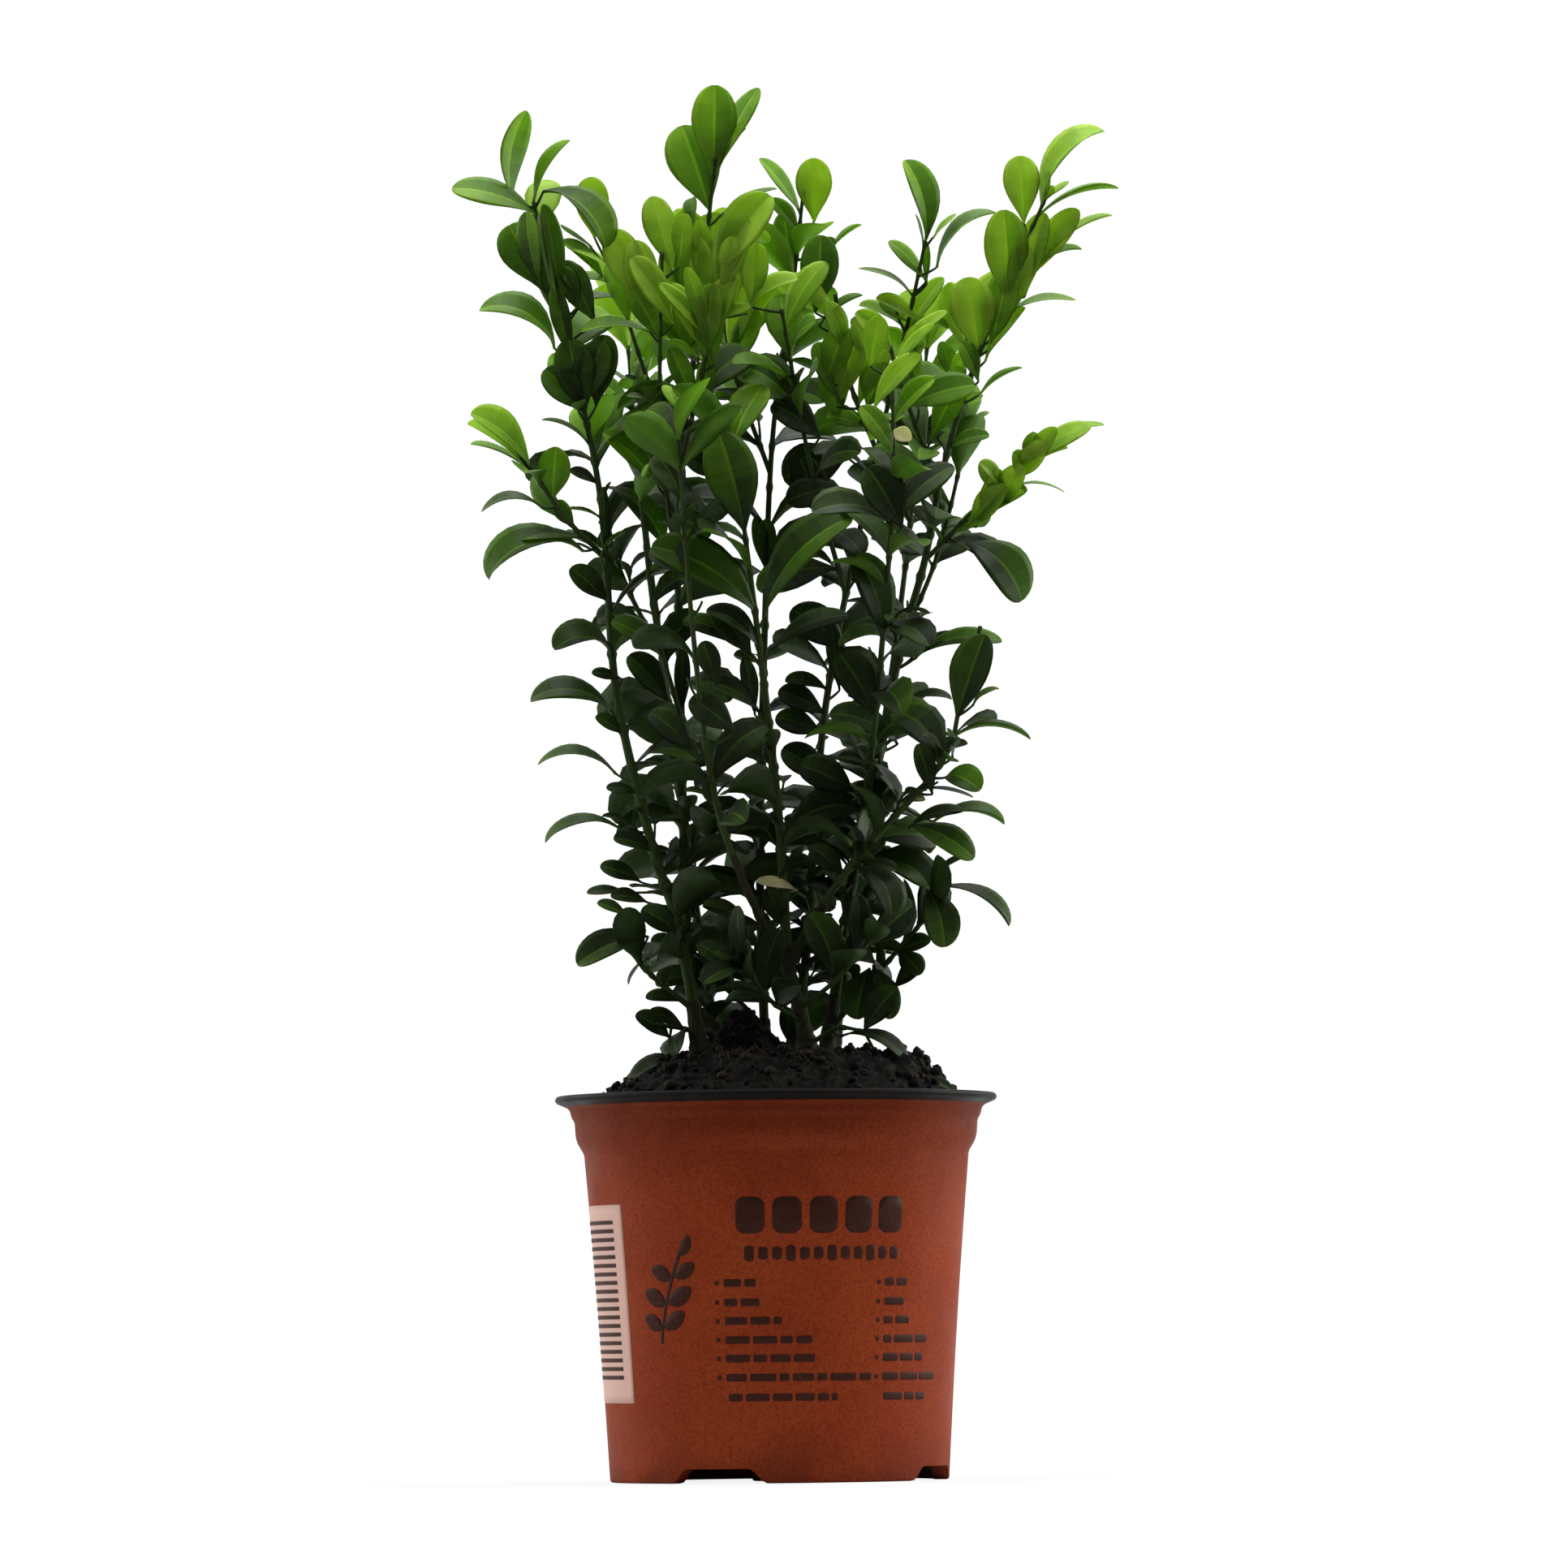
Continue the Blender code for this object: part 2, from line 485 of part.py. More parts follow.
class Crowd:
    """The solids placed so far, so that a new leaf can be tried against its neighbours."""

    def __init__(self):
        self.trees, self.centres, self.reaches, self.owners = [], [], [], []

    def add(self, points, faces, owner):
        points = np.asarray(points)
        centre = (points.min(axis=0) + points.max(axis=0)) / 2
        self.trees.append(BVHTree.FromPolygons(points.tolist(), faces))
        self.centres.append(centre)
        self.reaches.append(np.linalg.norm(points - centre, axis=1).max())
        self.owners.append(owner)
        return self.trees[-1]

    def add_object(self, obj):
        mesh = obj.evaluated_get(bpy.context.evaluated_depsgraph_get()).to_mesh()
        points = np.array([vertex.co[:] for vertex in mesh.vertices]) / MM
        return self.add(points, [tuple(face.vertices) for face in mesh.polygons], obj.name)

    def touches(self, points, faces, but):
        """Whether the solid meets one that is placed, apart from those whose owner is in but."""
        points = np.asarray(points)
        centre = (points.min(axis=0) + points.max(axis=0)) / 2
        reach = np.linalg.norm(points - centre, axis=1).max()
        near = np.linalg.norm(np.array(self.centres) - centre, axis=1) < np.array(self.reaches) + reach
        tree = BVHTree.FromPolygons(points.tolist(), faces)
        return any(
            self.owners[k] not in but and tree.overlap(self.trees[k]) for k in np.flatnonzero(near)
        )


# Growing

def girths(line, base, tip, flare=0.0):
    """Radii from base to tip, with a root flare that dies away over FLARE_REACH."""
    run = lengths(line)
    return (base + (tip - base) * run / run[-1]) * (1 + flare * np.exp(-run / FLARE_REACH))


def sprung_from(parent, points):
    """The waypoints with the first moved to the nearest place on the middle of the limb that they spring from."""
    middle = even_steps(parent, CORE_STEP)
    return (middle[np.argmin(np.linalg.norm(middle - np.array(points[0]), axis=1))], *points[1:])


def start_clear(line, radius, sides, parents):
    """How far along its line a limb begins: as near to the limb that it springs from as the gap allows."""
    fine = even_steps(line, START_STEP)
    around = rings(fine, radius, sides)
    for k in range(round(START_WITHIN / START_STEP), 0, -1):
        if min(tree.find_nearest(Vector(corner))[3] for tree in parents for corner in around[k]) < GAP:
            return float(lengths(fine)[k + 1])
    return 0.0


def joined(name, base, others, material):
    """One solid: a Boolean union of the base with every object of a collection, without loose scraps."""
    group = bpy.data.collections.new(name)
    bpy.context.scene.collection.children.link(group)
    for obj in others:
        bpy.context.scene.collection.objects.unlink(obj)
        group.objects.link(obj)
    for solver in ("EXACT", "MANIFOLD"):
        union = base.modifiers.new("union", "BOOLEAN")
        union.operation = "UNION"
        union.operand_type = "COLLECTION"
        union.collection = group
        union.solver = solver
        whole = bpy.data.meshes.new_from_object(base.evaluated_get(bpy.context.evaluated_depsgraph_get()))
        base.modifiers.remove(union)
        if closed_piece(whole):
            break
    base.data = whole
    base.name = name
    base.data.materials.clear()
    base.data.materials.append(material)
    for obj in others:
        bpy.data.objects.remove(obj)
    bpy.data.collections.remove(group)
    return base


def closed_piece(mesh):
    """Keeps the mesh's largest connected shell, and says whether that is closed."""
    shape = bmesh.new()
    shape.from_mesh(mesh)
    bmesh.ops.remove_doubles(shape, verts=shape.verts[:], dist=UNION_SEAM * MM)
    bmesh.ops.triangulate(shape, faces=shape.faces[:])
    left, shells = set(shape.faces), []
    while left:
        front = [left.pop()]
        shell = list(front)
        while front:
            for edge in front.pop().edges:
                for face in edge.link_faces:
                    if face in left:
                        left.remove(face)
                        front.append(face)
                        shell.append(face)
        shells.append(shell)
    shells.sort(key=len)
    bmesh.ops.delete(shape, geom=[face for shell in shells[:-1] for face in shell], context="FACES")
    closed = bool(shape.faces) and all(len(edge.link_faces) == 2 for edge in shape.edges)
    shape.to_mesh(mesh)
    shape.free()
    return closed


class Twig(NamedTuple):
    """A leafy line and how its leaves are set; the last four are as in Axis."""

    line: np.ndarray
    stalk: np.ndarray  # the few points that its tube runs through
    tube: tuple
    lowest: float  # length along the line below which there are no leaves
    owner: str
    face: float
    seed: int
    leaf: float
    pitch: float


def grow_limb(axis, above, soil_tree, crowd, bark):
    """Makes the axis's bare limb. Gives its leafy twigs, and the trees of what others may spring from."""
    sides = STEM_SIDES if axis.bare_to else TWIG_SIDES
    if axis.parent:
        parent_line, parent_trees = above[axis.parent]
        line = smooth_line(sprung_from(parent_line, axis.points), LINE_STEP)
        start = start_clear(line, axis.girth, sides, parent_trees)
    else:
        x, y, _ = axis.points[0]
        foot = (x, y, ground_under(soil_tree, x, y, axis.girth * (1 + FLARE)) + GAP)
        line, start = smooth_line((foot, *axis.points[1:]), LINE_STEP), 0.0
    total = lengths(line)[-1]
    end = run_at_height(line, axis.bare_to) if axis.bare_to else start
    end_girth = np.interp(end, [0, total], [axis.girth, TIP_GIRTH])
    trees = []
    if axis.bare_to:
        bare, ahead = piece(line, start, end, STEM_STEP)
        radii = girths(bare, axis.girth, end_girth, 0 if axis.parent else FLARE)
        points, faces = tube(bare, radii, sides, ahead, level_foot=not axis.parent)
        limb = new_object(("bough_" if axis.parent else "stem_") + axis.name, points, faces, bark)
        limb.data.shade_smooth()
        trees.append(crowd.add(points, faces, limb.name))
    stalk, ahead = piece(line, end + (GAP if axis.bare_to else 0), total, TWIG_STEP)
    lead = tube(stalk, girths(stalk, end_girth, TIP_GIRTH), TWIG_SIDES, ahead)
    trees.append(crowd.add(*lead, axis.name))
    above[axis.name] = line, trees
    lowest = end + (FIRST_LEAF if axis.bare_to else TWIG_BARE)
    twigs = [Twig(line, stalk, lead, lowest, axis.name, axis.face, axis.seed, axis.leaf, axis.pitch)]
    for waypoints, face, seed, leaf in axis.twigs:
        waypoints = sprung_from(stalk, waypoints)
        side = smooth_line(waypoints, TWIG_STEP)
        branch = tube(side, girths(side, TWIG_GIRTH, TIP_GIRTH), TWIG_SIDES)
        owner = axis.name + "_twig"
        crowd.add(*branch, owner)
        twigs.append(Twig(smooth_line(waypoints, LINE_STEP), side, branch, TWIG_BARE, owner, face, seed, leaf,
                          axis.pitch * TWIG_PITCH))
    return twigs


def grow_leaves(twig, crowd):
    """Opposite pairs from the tip down, each turned a quarter from the last; young ones stand up.

    Each leaf is rooted in the middle of the stalk, the straight pieces that the tube has in the line's place.
    """
    total = lengths(twig.line)[-1]
    core = even_steps(twig.stalk, CORE_STEP)
    run, turn, rank = total - 1.0, twig.face, 0
    grown = []
    while run > twig.lowest:
        dice = random.Random(MOST_PAIRS * twig.seed + rank)

        def swing(most):
            return dice.uniform(-most, most)

        young = math.exp(-(total - run) / YOUNG_REACH)
        foot, ahead, across, beside = at_run(twig.line, run)
        root = core[np.argmin(np.linalg.norm(core - foot, axis=1))]
        pair, pair_turn = (twig.owner, rank), turn + swing(PAIR_SWING)
        for side in (0, 180):
            azimuth = pair_turn + side + swing(SIDE_SWING)
            angle = OLD_ANGLE + (YOUNG_ANGLE - OLD_ANGLE) * young + swing(ANGLE_SWING)
            bend = OLD_BEND + (YOUNG_BEND - OLD_BEND) * young + swing(BEND_SWING)
            roll = swing(ROLL_SWING)
            size = twig.leaf * (1 - (1 - TIP_LEAF) * young**2) * dice.uniform(*SIZES)
            for spin, tilt, share in TRIES:
                here = math.radians(azimuth + spin)
                out = math.cos(here) * across + math.sin(here) * beside
                leaf = Leaf(root, ahead, out, math.radians(angle + tilt), math.radians(bend),
                            math.radians(roll), size * share)
                points, faces = leaf.solid(GAP)
                if fills_opening(points[:len(RIM) + 1]) or crowd.touches(points, faces, (twig.owner, pair)):
                    continue
                crowd.add(*leaf.solid(), pair)
                grown.append(leaf)
                break
        run -= twig.pitch * (1 - (1 - TIP_PITCH) * young) * dice.uniform(*SPACINGS)
        turn += 90
        rank += 1
    return grown


def grow_plant(soil_tree, crowd, bark, leaf_green):
    """All limbs and twigs first, so that no leaf is set where one runs, and then each shoot's leaves."""
    above = {}
    shoots = [(axis, grow_limb(axis, above, soil_tree, crowd, bark)) for axis in AXES]
    count = 0
    for axis, twigs in shoots:
        leaves = [leaf for twig in twigs for leaf in grow_leaves(twig, crowd)]
        count += len(leaves)
        base = new_object(axis.name, *twigs[0].tube)
        others = [new_object("twig", *twig.tube) for twig in twigs[1:]]
        others += [new_object("leaf", *leaf.solid()) for leaf in leaves]
        whole = joined(("shoot_" if axis.bare_to else "sprig_") + axis.name, base, others, leaf_green)
        print(whole.name, len(leaves), "leaves", len(whole.data.polygons), "faces")
    print(count, "leaves in all")


def main():
    for obj in list(bpy.data.objects):
        bpy.data.objects.remove(obj)
    terracotta = finish_material("terracotta plastic", (0.36, 0.085, 0.03), 0.55)
    peat = finish_material("peat", (0.012, 0.010, 0.008), 0.95)
    bark = finish_material("young bark", (0.045, 0.05, 0.02), 0.7)
    leaf_green = finish_material("box leaf", (0.04, 0.12, 0.015), 0.4)
    pot = make_pot(terracotta)
    soil = make_soil(peat)
    crowd = Crowd()
    crowd.add_object(pot)
    soil_tree = crowd.add_object(soil)
    grow_plant(soil_tree, crowd, bark, leaf_green)


main()
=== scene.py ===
"""The finished surfaces of a young box plant in its nursery pot, made round the solid model of the plant.

Lengths are millimetres until a mesh is made. +Z is up, -Y is the front. Every shape is worked out as whole
arrays: a grid over two parameters, or a profile carried along a line. The limbs and leaves follow the rule
that the solids were grown by: the same axes, seeds and draws, so each such leaf lies where its solid does.
POSED lists more leaves, with places of their own, and the leaves of the rule give way to those.
"""

import json
import math
import random
from typing import NamedTuple

import bpy
import numpy as np
from mathutils import Matrix, Vector
from mathutils.bvhtree import BVHTree
from mathutils.kdtree import KDTree

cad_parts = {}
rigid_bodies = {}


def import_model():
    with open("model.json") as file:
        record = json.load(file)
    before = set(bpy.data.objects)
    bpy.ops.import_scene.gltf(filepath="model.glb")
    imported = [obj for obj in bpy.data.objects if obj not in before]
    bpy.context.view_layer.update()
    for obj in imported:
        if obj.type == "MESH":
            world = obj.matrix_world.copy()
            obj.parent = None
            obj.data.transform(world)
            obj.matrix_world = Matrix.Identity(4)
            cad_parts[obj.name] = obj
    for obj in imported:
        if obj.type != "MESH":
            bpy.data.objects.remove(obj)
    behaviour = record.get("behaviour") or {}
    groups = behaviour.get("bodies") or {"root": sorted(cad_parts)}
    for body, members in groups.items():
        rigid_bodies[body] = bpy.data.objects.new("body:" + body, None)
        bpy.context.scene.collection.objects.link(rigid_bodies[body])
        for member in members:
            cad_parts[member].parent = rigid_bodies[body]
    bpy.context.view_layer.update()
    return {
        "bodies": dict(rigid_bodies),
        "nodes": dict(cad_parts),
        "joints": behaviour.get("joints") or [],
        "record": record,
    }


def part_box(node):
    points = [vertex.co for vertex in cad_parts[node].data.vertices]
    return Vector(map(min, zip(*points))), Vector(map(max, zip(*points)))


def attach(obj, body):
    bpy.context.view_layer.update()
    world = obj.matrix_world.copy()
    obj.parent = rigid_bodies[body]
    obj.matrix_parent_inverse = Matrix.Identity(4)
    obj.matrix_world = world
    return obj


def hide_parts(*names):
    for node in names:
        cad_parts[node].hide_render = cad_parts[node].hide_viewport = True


MM = 0.001
GAP = 0.3  # between the solids

# Pot
POT_HEIGHT = 113.0
RIM_RADIUS = 65.0
LIP_HEIGHT = 2.2
BAND_RADIUS = 60.1
BAND_FOOT = 105.4
BAND_BEVEL = 1.4
COLLAR_RADIUS = 59.2
COLLAR_TAPER = 0.9
COLLAR_FOOT = 96.0
STEP_HEIGHT = 3.0
WALL_TOP_RADIUS = 56.5
WALL_BOW = 0.4  # how far the wall is drawn in half way up
POT_SIDES = 256
SHARP = 50.0  # least angle of an edge that isn't shaded smooth
FOOT_RADIUS = 50.0
FOOT_WIDTH = 5.0
WALL = 1.2
FLOOR_TOP = 6.0
HUB_RADIUS = 8.0
NOTCHES = 4
NOTCH_TURN = -21.5
NOTCH_HEIGHT = 4.2
NOTCH_WIDE = 30.0
NOTCH_NARROW = 19.5
DRAIN_RADIUS = 4.0
DRAIN_AT = 30.0

# Soil
SOIL_EDGE = 109.0
MOUND_TOP = 124.0
MOUND_RADIUS = 33.0
MOUND_CENTRE = (6.0, 0.0)
PLUG_CENTRE = (-9.0, 3.0)
PLUG_RADIUS = 9.0
PLUG_HEIGHT = 13.0
SHOULDER = 54.0  # radius where the finished soil begins to turn down to the wall
SHOULDER_WIDTH = 4.6
EDGE_DROP = 0.4
SKIRT = ((56.9, 100.0), (54.9, 95.0), (48.4, 6.2))  # radius and height, down inside the wall
FALL_CURVE = 1.4
CRUMBS, FIBRES = 1500, 130  # how many
LUMPS = ((0.6, 0.31, 0.27, 1.4), (0.6, 0.31, -0.27, 0.6), (0.65, 0.53, -0.47, 2.0), (0.6, 0.66, 0.24, 0.3),
         (0.6, -0.18, 0.68, 3.1))  # waves: height, radians a mm along x and along y, and where it starts

# Stems
SPLINE_STEPS = 16
LINE_STEP = 1.0
STEM_SIDES = 8
STEM_STEP = 14.0
FLARE = 0.7
FLARE_REACH = 4.0
TWIG_SIDES = 3
TWIG_STEP = 20.0
CORE_STEP = 0.5
START_STEP = 0.1
START_WITHIN = 8.0
TWIG_GIRTH = 0.85
TIP_GIRTH = 0.55

# Leaves
LEAF_WIDTH = 0.6
LEAF_FOLD = 0.14
YOUNG_REACH = 45.0
YOUNG_ANGLE, OLD_ANGLE = 26.0, 48.0
YOUNG_BEND, OLD_BEND = 20.0, 80.0
TIP_LEAF = 0.85
TIP_PITCH = 0.62
TWIG_PITCH = 0.85
FIRST_LEAF = 4.0
TWIG_BARE = 7.0
PAIR_SWING, SIDE_SWING = 12.0, 9.0
ANGLE_SWING, BEND_SWING, ROLL_SWING = 14.0, 22.0, 50.0
SIZES = (0.86, 1.14)
SPACINGS = (0.92, 1.08)
MOST_PAIRS = 100
TRIES = ((0, 0, 1), (16, 0, 1), (-16, 0, 1), (0, -14, 1), (0, 14, 0.95), (30, -8, 0.9), (-30, -8, 0.9),
         (22, 14, 0.8), (-22, 14, 0.8), (0, -8, 0.7), (40, 0, 0.7), (-40, 0, 0.7))
BLADE_WIDTHS = (0.42, 0.54)  # of the finished leaves, against their length
WIDEST = 1.4
FULLNESS = 0.8
RIM = ((0.45, 1), (0.9, 1), (0.9, -1), (0.45, -1))
TIP_ROOM = 0.06
OPENINGS = np.array([  # where the crown stays open: across and up in the plane y = 0, and radius
    (5, 400, 11), (24, 396, 9), (-7, 387, 6), (96, 386, 5), (28, 379, 10), (59, 382, 8), (-42, 373, 4),
    (35, 374, 8), (58, 359, 6), (25, 353, 4), (31, 351, 3), (87, 355, 5), (-81, 329, 12), (75, 334, 6),
    (-72, 319, 7), (-63, 317, 3), (73, 315, 8), (89, 325, 13), (-98, 313, 11), (-66, 308, 3), (71, 309, 6),
    (-84, 298, 6), (-45, 297, 3), (95, 298, 9), (-56, 290, 3), (57, 289, 3), (72, 282, 6), (-64, 272, 5),
    (-68, 261, 11), (-56, 258, 4), (54, 261, 9), (63, 256, 5), (72, 252, 6), (48, 238, 5), (-59, 223, 6),
    (37, 209, 3), (66, 214, 7), (-56, 204, 7), (59, 164, 6), (-49, 148, 5), (-47, 139, 7), (-38, 145, 3),
    (47, 139, 10), (-45, 128, 8), (-85, 392, 5), (-92, 372, 5), (-82, 369, 2), (-59, 388, 2), (-61, 375, 2),
    (-83, 358, 6), (-62, 316, 2), (-93, 296, 4), (-58, 292, 3), (-54, 283, 2), (-93, 277, 5), (-74, 262, 6),
    (-72, 243, 4), (-55, 242, 2), (-79, 224, 5), (-62, 222, 3), (-49, 233, 1), (-47, 216, 2), (-75, 203, 4),
    (-75, 184, 5), (-60, 184, 4), (-51, 192, 2), (-63, 170, 5), (-50, 167, 2), (-51, 149, 3), (-54, 394, 4),
    (-44, 389, 6), (-41, 378, 2), (-3, 390, 2), (28, 389, 6), (32, 362, 2), (61, 364, 3), (93, 388, 2),
    (92, 355, 4), (85, 334, 6), (82, 319, 5), (55, 288, 2), (84, 296, 2), (82, 281, 5), (84, 266, 5),
    (75, 246, 5), (42, 235, 2), (74, 229, 3), (74, 208, 4), (67, 203, 3), (67, 189, 4), (55, 193, 1),
    (68, 175, 4), (63, 179, 2), (56, 153, 4), (47, 151, 2), (36, 270, 3), (39, 261, 3), (0, 333, 2),
    (-3, 309, 1), (1, 304, 1), (1, 292, 3), (-40, 274, 2), (-47, 280, 2), (-21, 259, 2), (-14, 243, 2),
    (-22, 246, 1), (-30, 233, 1), (-12, 227, 2), (-5, 235, 2), (8, 241, 2), (21, 230, 2), (32, 236, 1),
    (36, 210, 3), (-6, 210, 2), (-29, 192, 2), (58, 295, 2), (-5, 306, 2), (-1, 295, 2), (1, 288, 2),
    (82, 392, 2), (-22, 259, 2), (-39, 260, 3), (-8, 244, 1), (66, 279, 2), (-75, 383, 5), (-59, 305, 2),
    (14, 259, 3),
])
OPEN_FROM = np.array([-0.5, -2567.0, 39.0])  # each opening runs straight back through the crown from here
SAME_PLACE = 0.7  # how near a corner worked out here lies to the solid's own


class Axis(NamedTuple):
    """One line of growth: waypoints from its foot, and how it is clothed."""

    name: str
    parent: str
    points: tuple
    bare_to: float
    girth: float
    face: float
    seed: int
    leaf: float
    pitch: float
    twigs: tuple = ()


AXES = (
    Axis("left", "", ((-22, -6, 0), (-28, -6, 162), (-36, -4, 188), (-46, 0, 234), (-50, 4, 290),
                      (-60, 2, 340), (-69, 0, 378)), 140, 1.9, 140, 27, 27, 12,
         ((((-49.5, 3, 272), (-60, -8, 283), (-71, -20, 298), (-79, -26, 308)), 10, 75, 22),)),
    Axis("mid_left", "", ((-17, 9, 0), (-25, 10, 150), (-27, 10, 238), (-27, 12, 290),
                          (-21, 8, 340), (-15, 2, 391)), 138, 1.7, 130, 911, 27, 13,
         ((((-27, 12, 296), (-36, 14, 326), (-46, 12, 358)), 80, 325, 25),
          (((-27, 11, 268), (-32, 0, 310), (-31, -4, 362)), 80, 515, 25),
          (((-27, 12, 302), (-18, -6, 332), (-12, -12, 354)), 130, 182, 24),
          (((-27, 10, 225), (-34, -4, 252), (-38, -14, 288)), 80, 412, 23))),
    Axis("centre", "", ((10, -8, 0), (8, -8, 135), (4, -8, 152), (2, -10, 190), (-2, -14, 231),
                        (-8, -20, 282), (-11, -22, 303)), 156, 2.0, 40, 259, 28, 13),
    Axis("front_left", "centre", ((5, -8, 148), (-7, -15, 171), (-17, -24, 200), (-23, -32, 250),
                                  (-27, -36, 312)), 182, 1.3, 30, 246, 25, 13),
    Axis("low_right", "centre", ((4.4, -8, 150), (11, -12, 163), (25, -21, 182), (49, -30, 208),
                                 (55, -31, 226), (61, -32, 248)), 168, 1.4, 40, 596, 24, 11),
    Axis("right", "", ((15, 7, 0), (23, 8, 174), (31, 8, 210), (38, 6, 244), (45.5, 4, 270),
                       (52, 1, 300), (64, -2, 336), (82, -6, 376)), 142, 2.0, 120, 209, 27, 13,
         ((((45.5, 4, 270), (57, -7, 281), (72, -16, 296), (84, -20, 306)), 160, 795, 21),
          (((50, 2, 293), (42, -12, 312), (34, -16, 338)), 10, 631, 24),
          (((56, 0, 312), (58, 14, 326), (58, 20, 342)), 160, 838, 24))),
    Axis("back", "", ((5, 17, 0), (10, 18, 160), (16, 20, 229), (31, 24, 300), (41, 16, 340),
                      (47, 8, 366)), 133, 1.6, 130, 622, 26, 13,
         ((((22, 22, 262), (12, 4, 300), (4, -10, 344)), 120, 876, 25),
          (((32, 23, 305), (24, 10, 325), (20, 4, 350)), 130, 67, 24))),
    Axis("back_mid", "", ((-3, 26, 0), (-4, 34, 180), (-2, 40, 250), (1, 36, 310), (7, 28, 350),
                          (11, 20, 383)), 136, 1.6, 120, 57, 26, 14,
         ((((0, 37, 300), (-10, 34, 330), (-16, 32, 362)), 20, 174, 25),)),
    Axis("back_left", "", ((-17, 23, 0), (-24, 36, 175), (-32, 48, 240), (-39, 57, 300),
                           (-43, 60, 350)), 132, 1.6, 150, 522, 26, 14,
         ((((-33, 49, 246), (-46, 40, 275), (-55, 34, 318)), 30, 138, 25),)),
    Axis("back_right", "", ((17, 25, 0), (25, 37, 175), (36, 49, 240), (44, 57, 300),
                            (48, 58, 340)), 134, 1.6, 120, 121, 26, 14,
         ((((37, 50, 246), (50, 38, 275), (60, 32, 314)), 110, 344, 25),)),
    Axis("front_right", "right", ((22.5, 8, 170), (28, -8, 204), (33, -24, 250), (36, -34, 290),
                                  (36, -38, 322)), 190, 1.3, 120, 80, 25, 12),
    Axis("low_left", "left", ((-24.5, -6, 138), (-36, -12, 148), (-43, -14, 156)), 0, 1.0, 30, 7, 20, 8),
    Axis("foot_left", "mid_left", ((-19, 9, 129), (-28, 1, 133), (-35, -5, 134)), 0, 0.9, 140, 409, 19, 8),
    Axis("foot_front", "centre", ((9.4, -8, 127), (18, -12, 132), (26, -14, 131)), 0, 0.9, 30, 273, 20, 8),
    Axis("low_back", "back_mid", ((-3.4, 28.6, 134), (-11, 22, 142), (-20, 19, 150)), 0, 0.9, 10, 762, 21, 8),
    Axis("low_front", "centre", ((7.6, -8, 138), (18, -17, 146), (27, -23, 156)), 0, 0.9, 70, 935, 21, 8),
    Axis("low_middle", "centre", ((8, -8, 134), (-1, -15, 140), (-9, -22, 150)), 0, 0.9, 50, 875, 21, 8),
    Axis("foot_right", "right", ((17, 7, 132), (30, 0, 148), (46, -6, 166)), 0, 1.0, 0, 694, 23, 9),
)


# Lines, as the solids have them

def smooth_line(points, step):
    """A Catmull-Rom curve through the points, cut into equal steps of its length."""
    points = np.asarray(points, float)
    ends = np.vstack([2 * points[0] - points[1], points, 2 * points[-1] - points[-2]])
    t = np.linspace(0, 1, SPLINE_STEPS, endpoint=False)[:, None]
    spans = [
        0.5 * (2 * b + (c - a) * t + (2 * a - 5 * b + 4 * c - d) * t**2 + (3 * b - a - 3 * c + d) * t**3)
        for a, b, c, d in zip(ends, ends[1:], ends[2:], ends[3:])
    ]
    return even_steps(np.vstack(spans + [points[-1:]]), step)


def lengths(line):
    """The length along the line up to each of its points."""
    return np.concatenate([[0], np.cumsum(np.linalg.norm(np.diff(line, axis=0), axis=1))])


def part_way(values, run, at):
    """Vectors known at the lengths run along a line, at other lengths along it."""
    return np.stack([np.interp(at, run, part) for part in values.T], axis=-1)


def even_steps(line, step):
    """The same line cut into equal steps of about that length."""
    run = lengths(line)
    return part_way(line, run, np.linspace(0, run[-1], max(3, round(run[-1] / step) + 1)))


def unit(vectors):
    return vectors / np.linalg.norm(vectors, axis=-1, keepdims=True)


def frames(line, ahead=None):
    """Along each point of a line: its direction, and two directions square to it, the first near +X."""
    if ahead is None:
        ahead = unit(np.gradient(line, axis=0))
    across = unit(np.array([1.0, 0, 0]) - ahead[:, :1] * ahead)
    return ahead, across, np.cross(ahead, across)


def at_run(line, run):
    """The point of a line, and its frame, at a length along it."""
    point, *frame = (part_way(values, lengths(line), run) for values in (line, *frames(line)))
    return point, *map(unit, frame)


def piece(line, start, end, step):
    """The stretch of a line between two lengths along it, and the line's direction at each of its points."""
    at = np.linspace(start, end, max(3, round((end - start) / step) + 1))
    return [part_way(values, lengths(line), at) for values in (line, frames(line)[0])]


def run_at_height(line, height):
    return float(np.interp(height, line[:, 2], lengths(line)))


def turns(sides):
    """Equal turns, one for each of so many sides."""
    return np.arange(sides) * 2 * math.pi / sides


def round_z(radius, turn, height):
    """The points at radii and turns about the Z axis, at heights."""
    return np.stack(np.broadcast_arrays(radius * np.cos(turn), radius * np.sin(turn), height), axis=-1)


def heading(turn, across, beside):
    """The direction at a turn from one direction towards another that is square to it."""
    return math.cos(turn) * across + math.sin(turn) * beside


def rings(line, radii, sides, ahead=None):
    """Corners round each point of a line, square to it: radius times cosine and sine of equal turns."""
    _, across, beside = frames(line, ahead)
    turn = turns(sides) + math.pi / 2
    round_it = np.cos(turn)[None, :, None] * across[:, None] + np.sin(turn)[None, :, None] * beside[:, None]
    return line[:, None] + np.reshape(radii, (len(line), -1, 1)) * round_it


def girths(line, base, tip, flare=0.0):
    """Radii from base to tip, with a root flare that dies away over FLARE_REACH."""
    run = lengths(line)
    return (base + (tip - base) * run / run[-1]) * (1 + flare * np.exp(-run / FLARE_REACH))


# Meshes

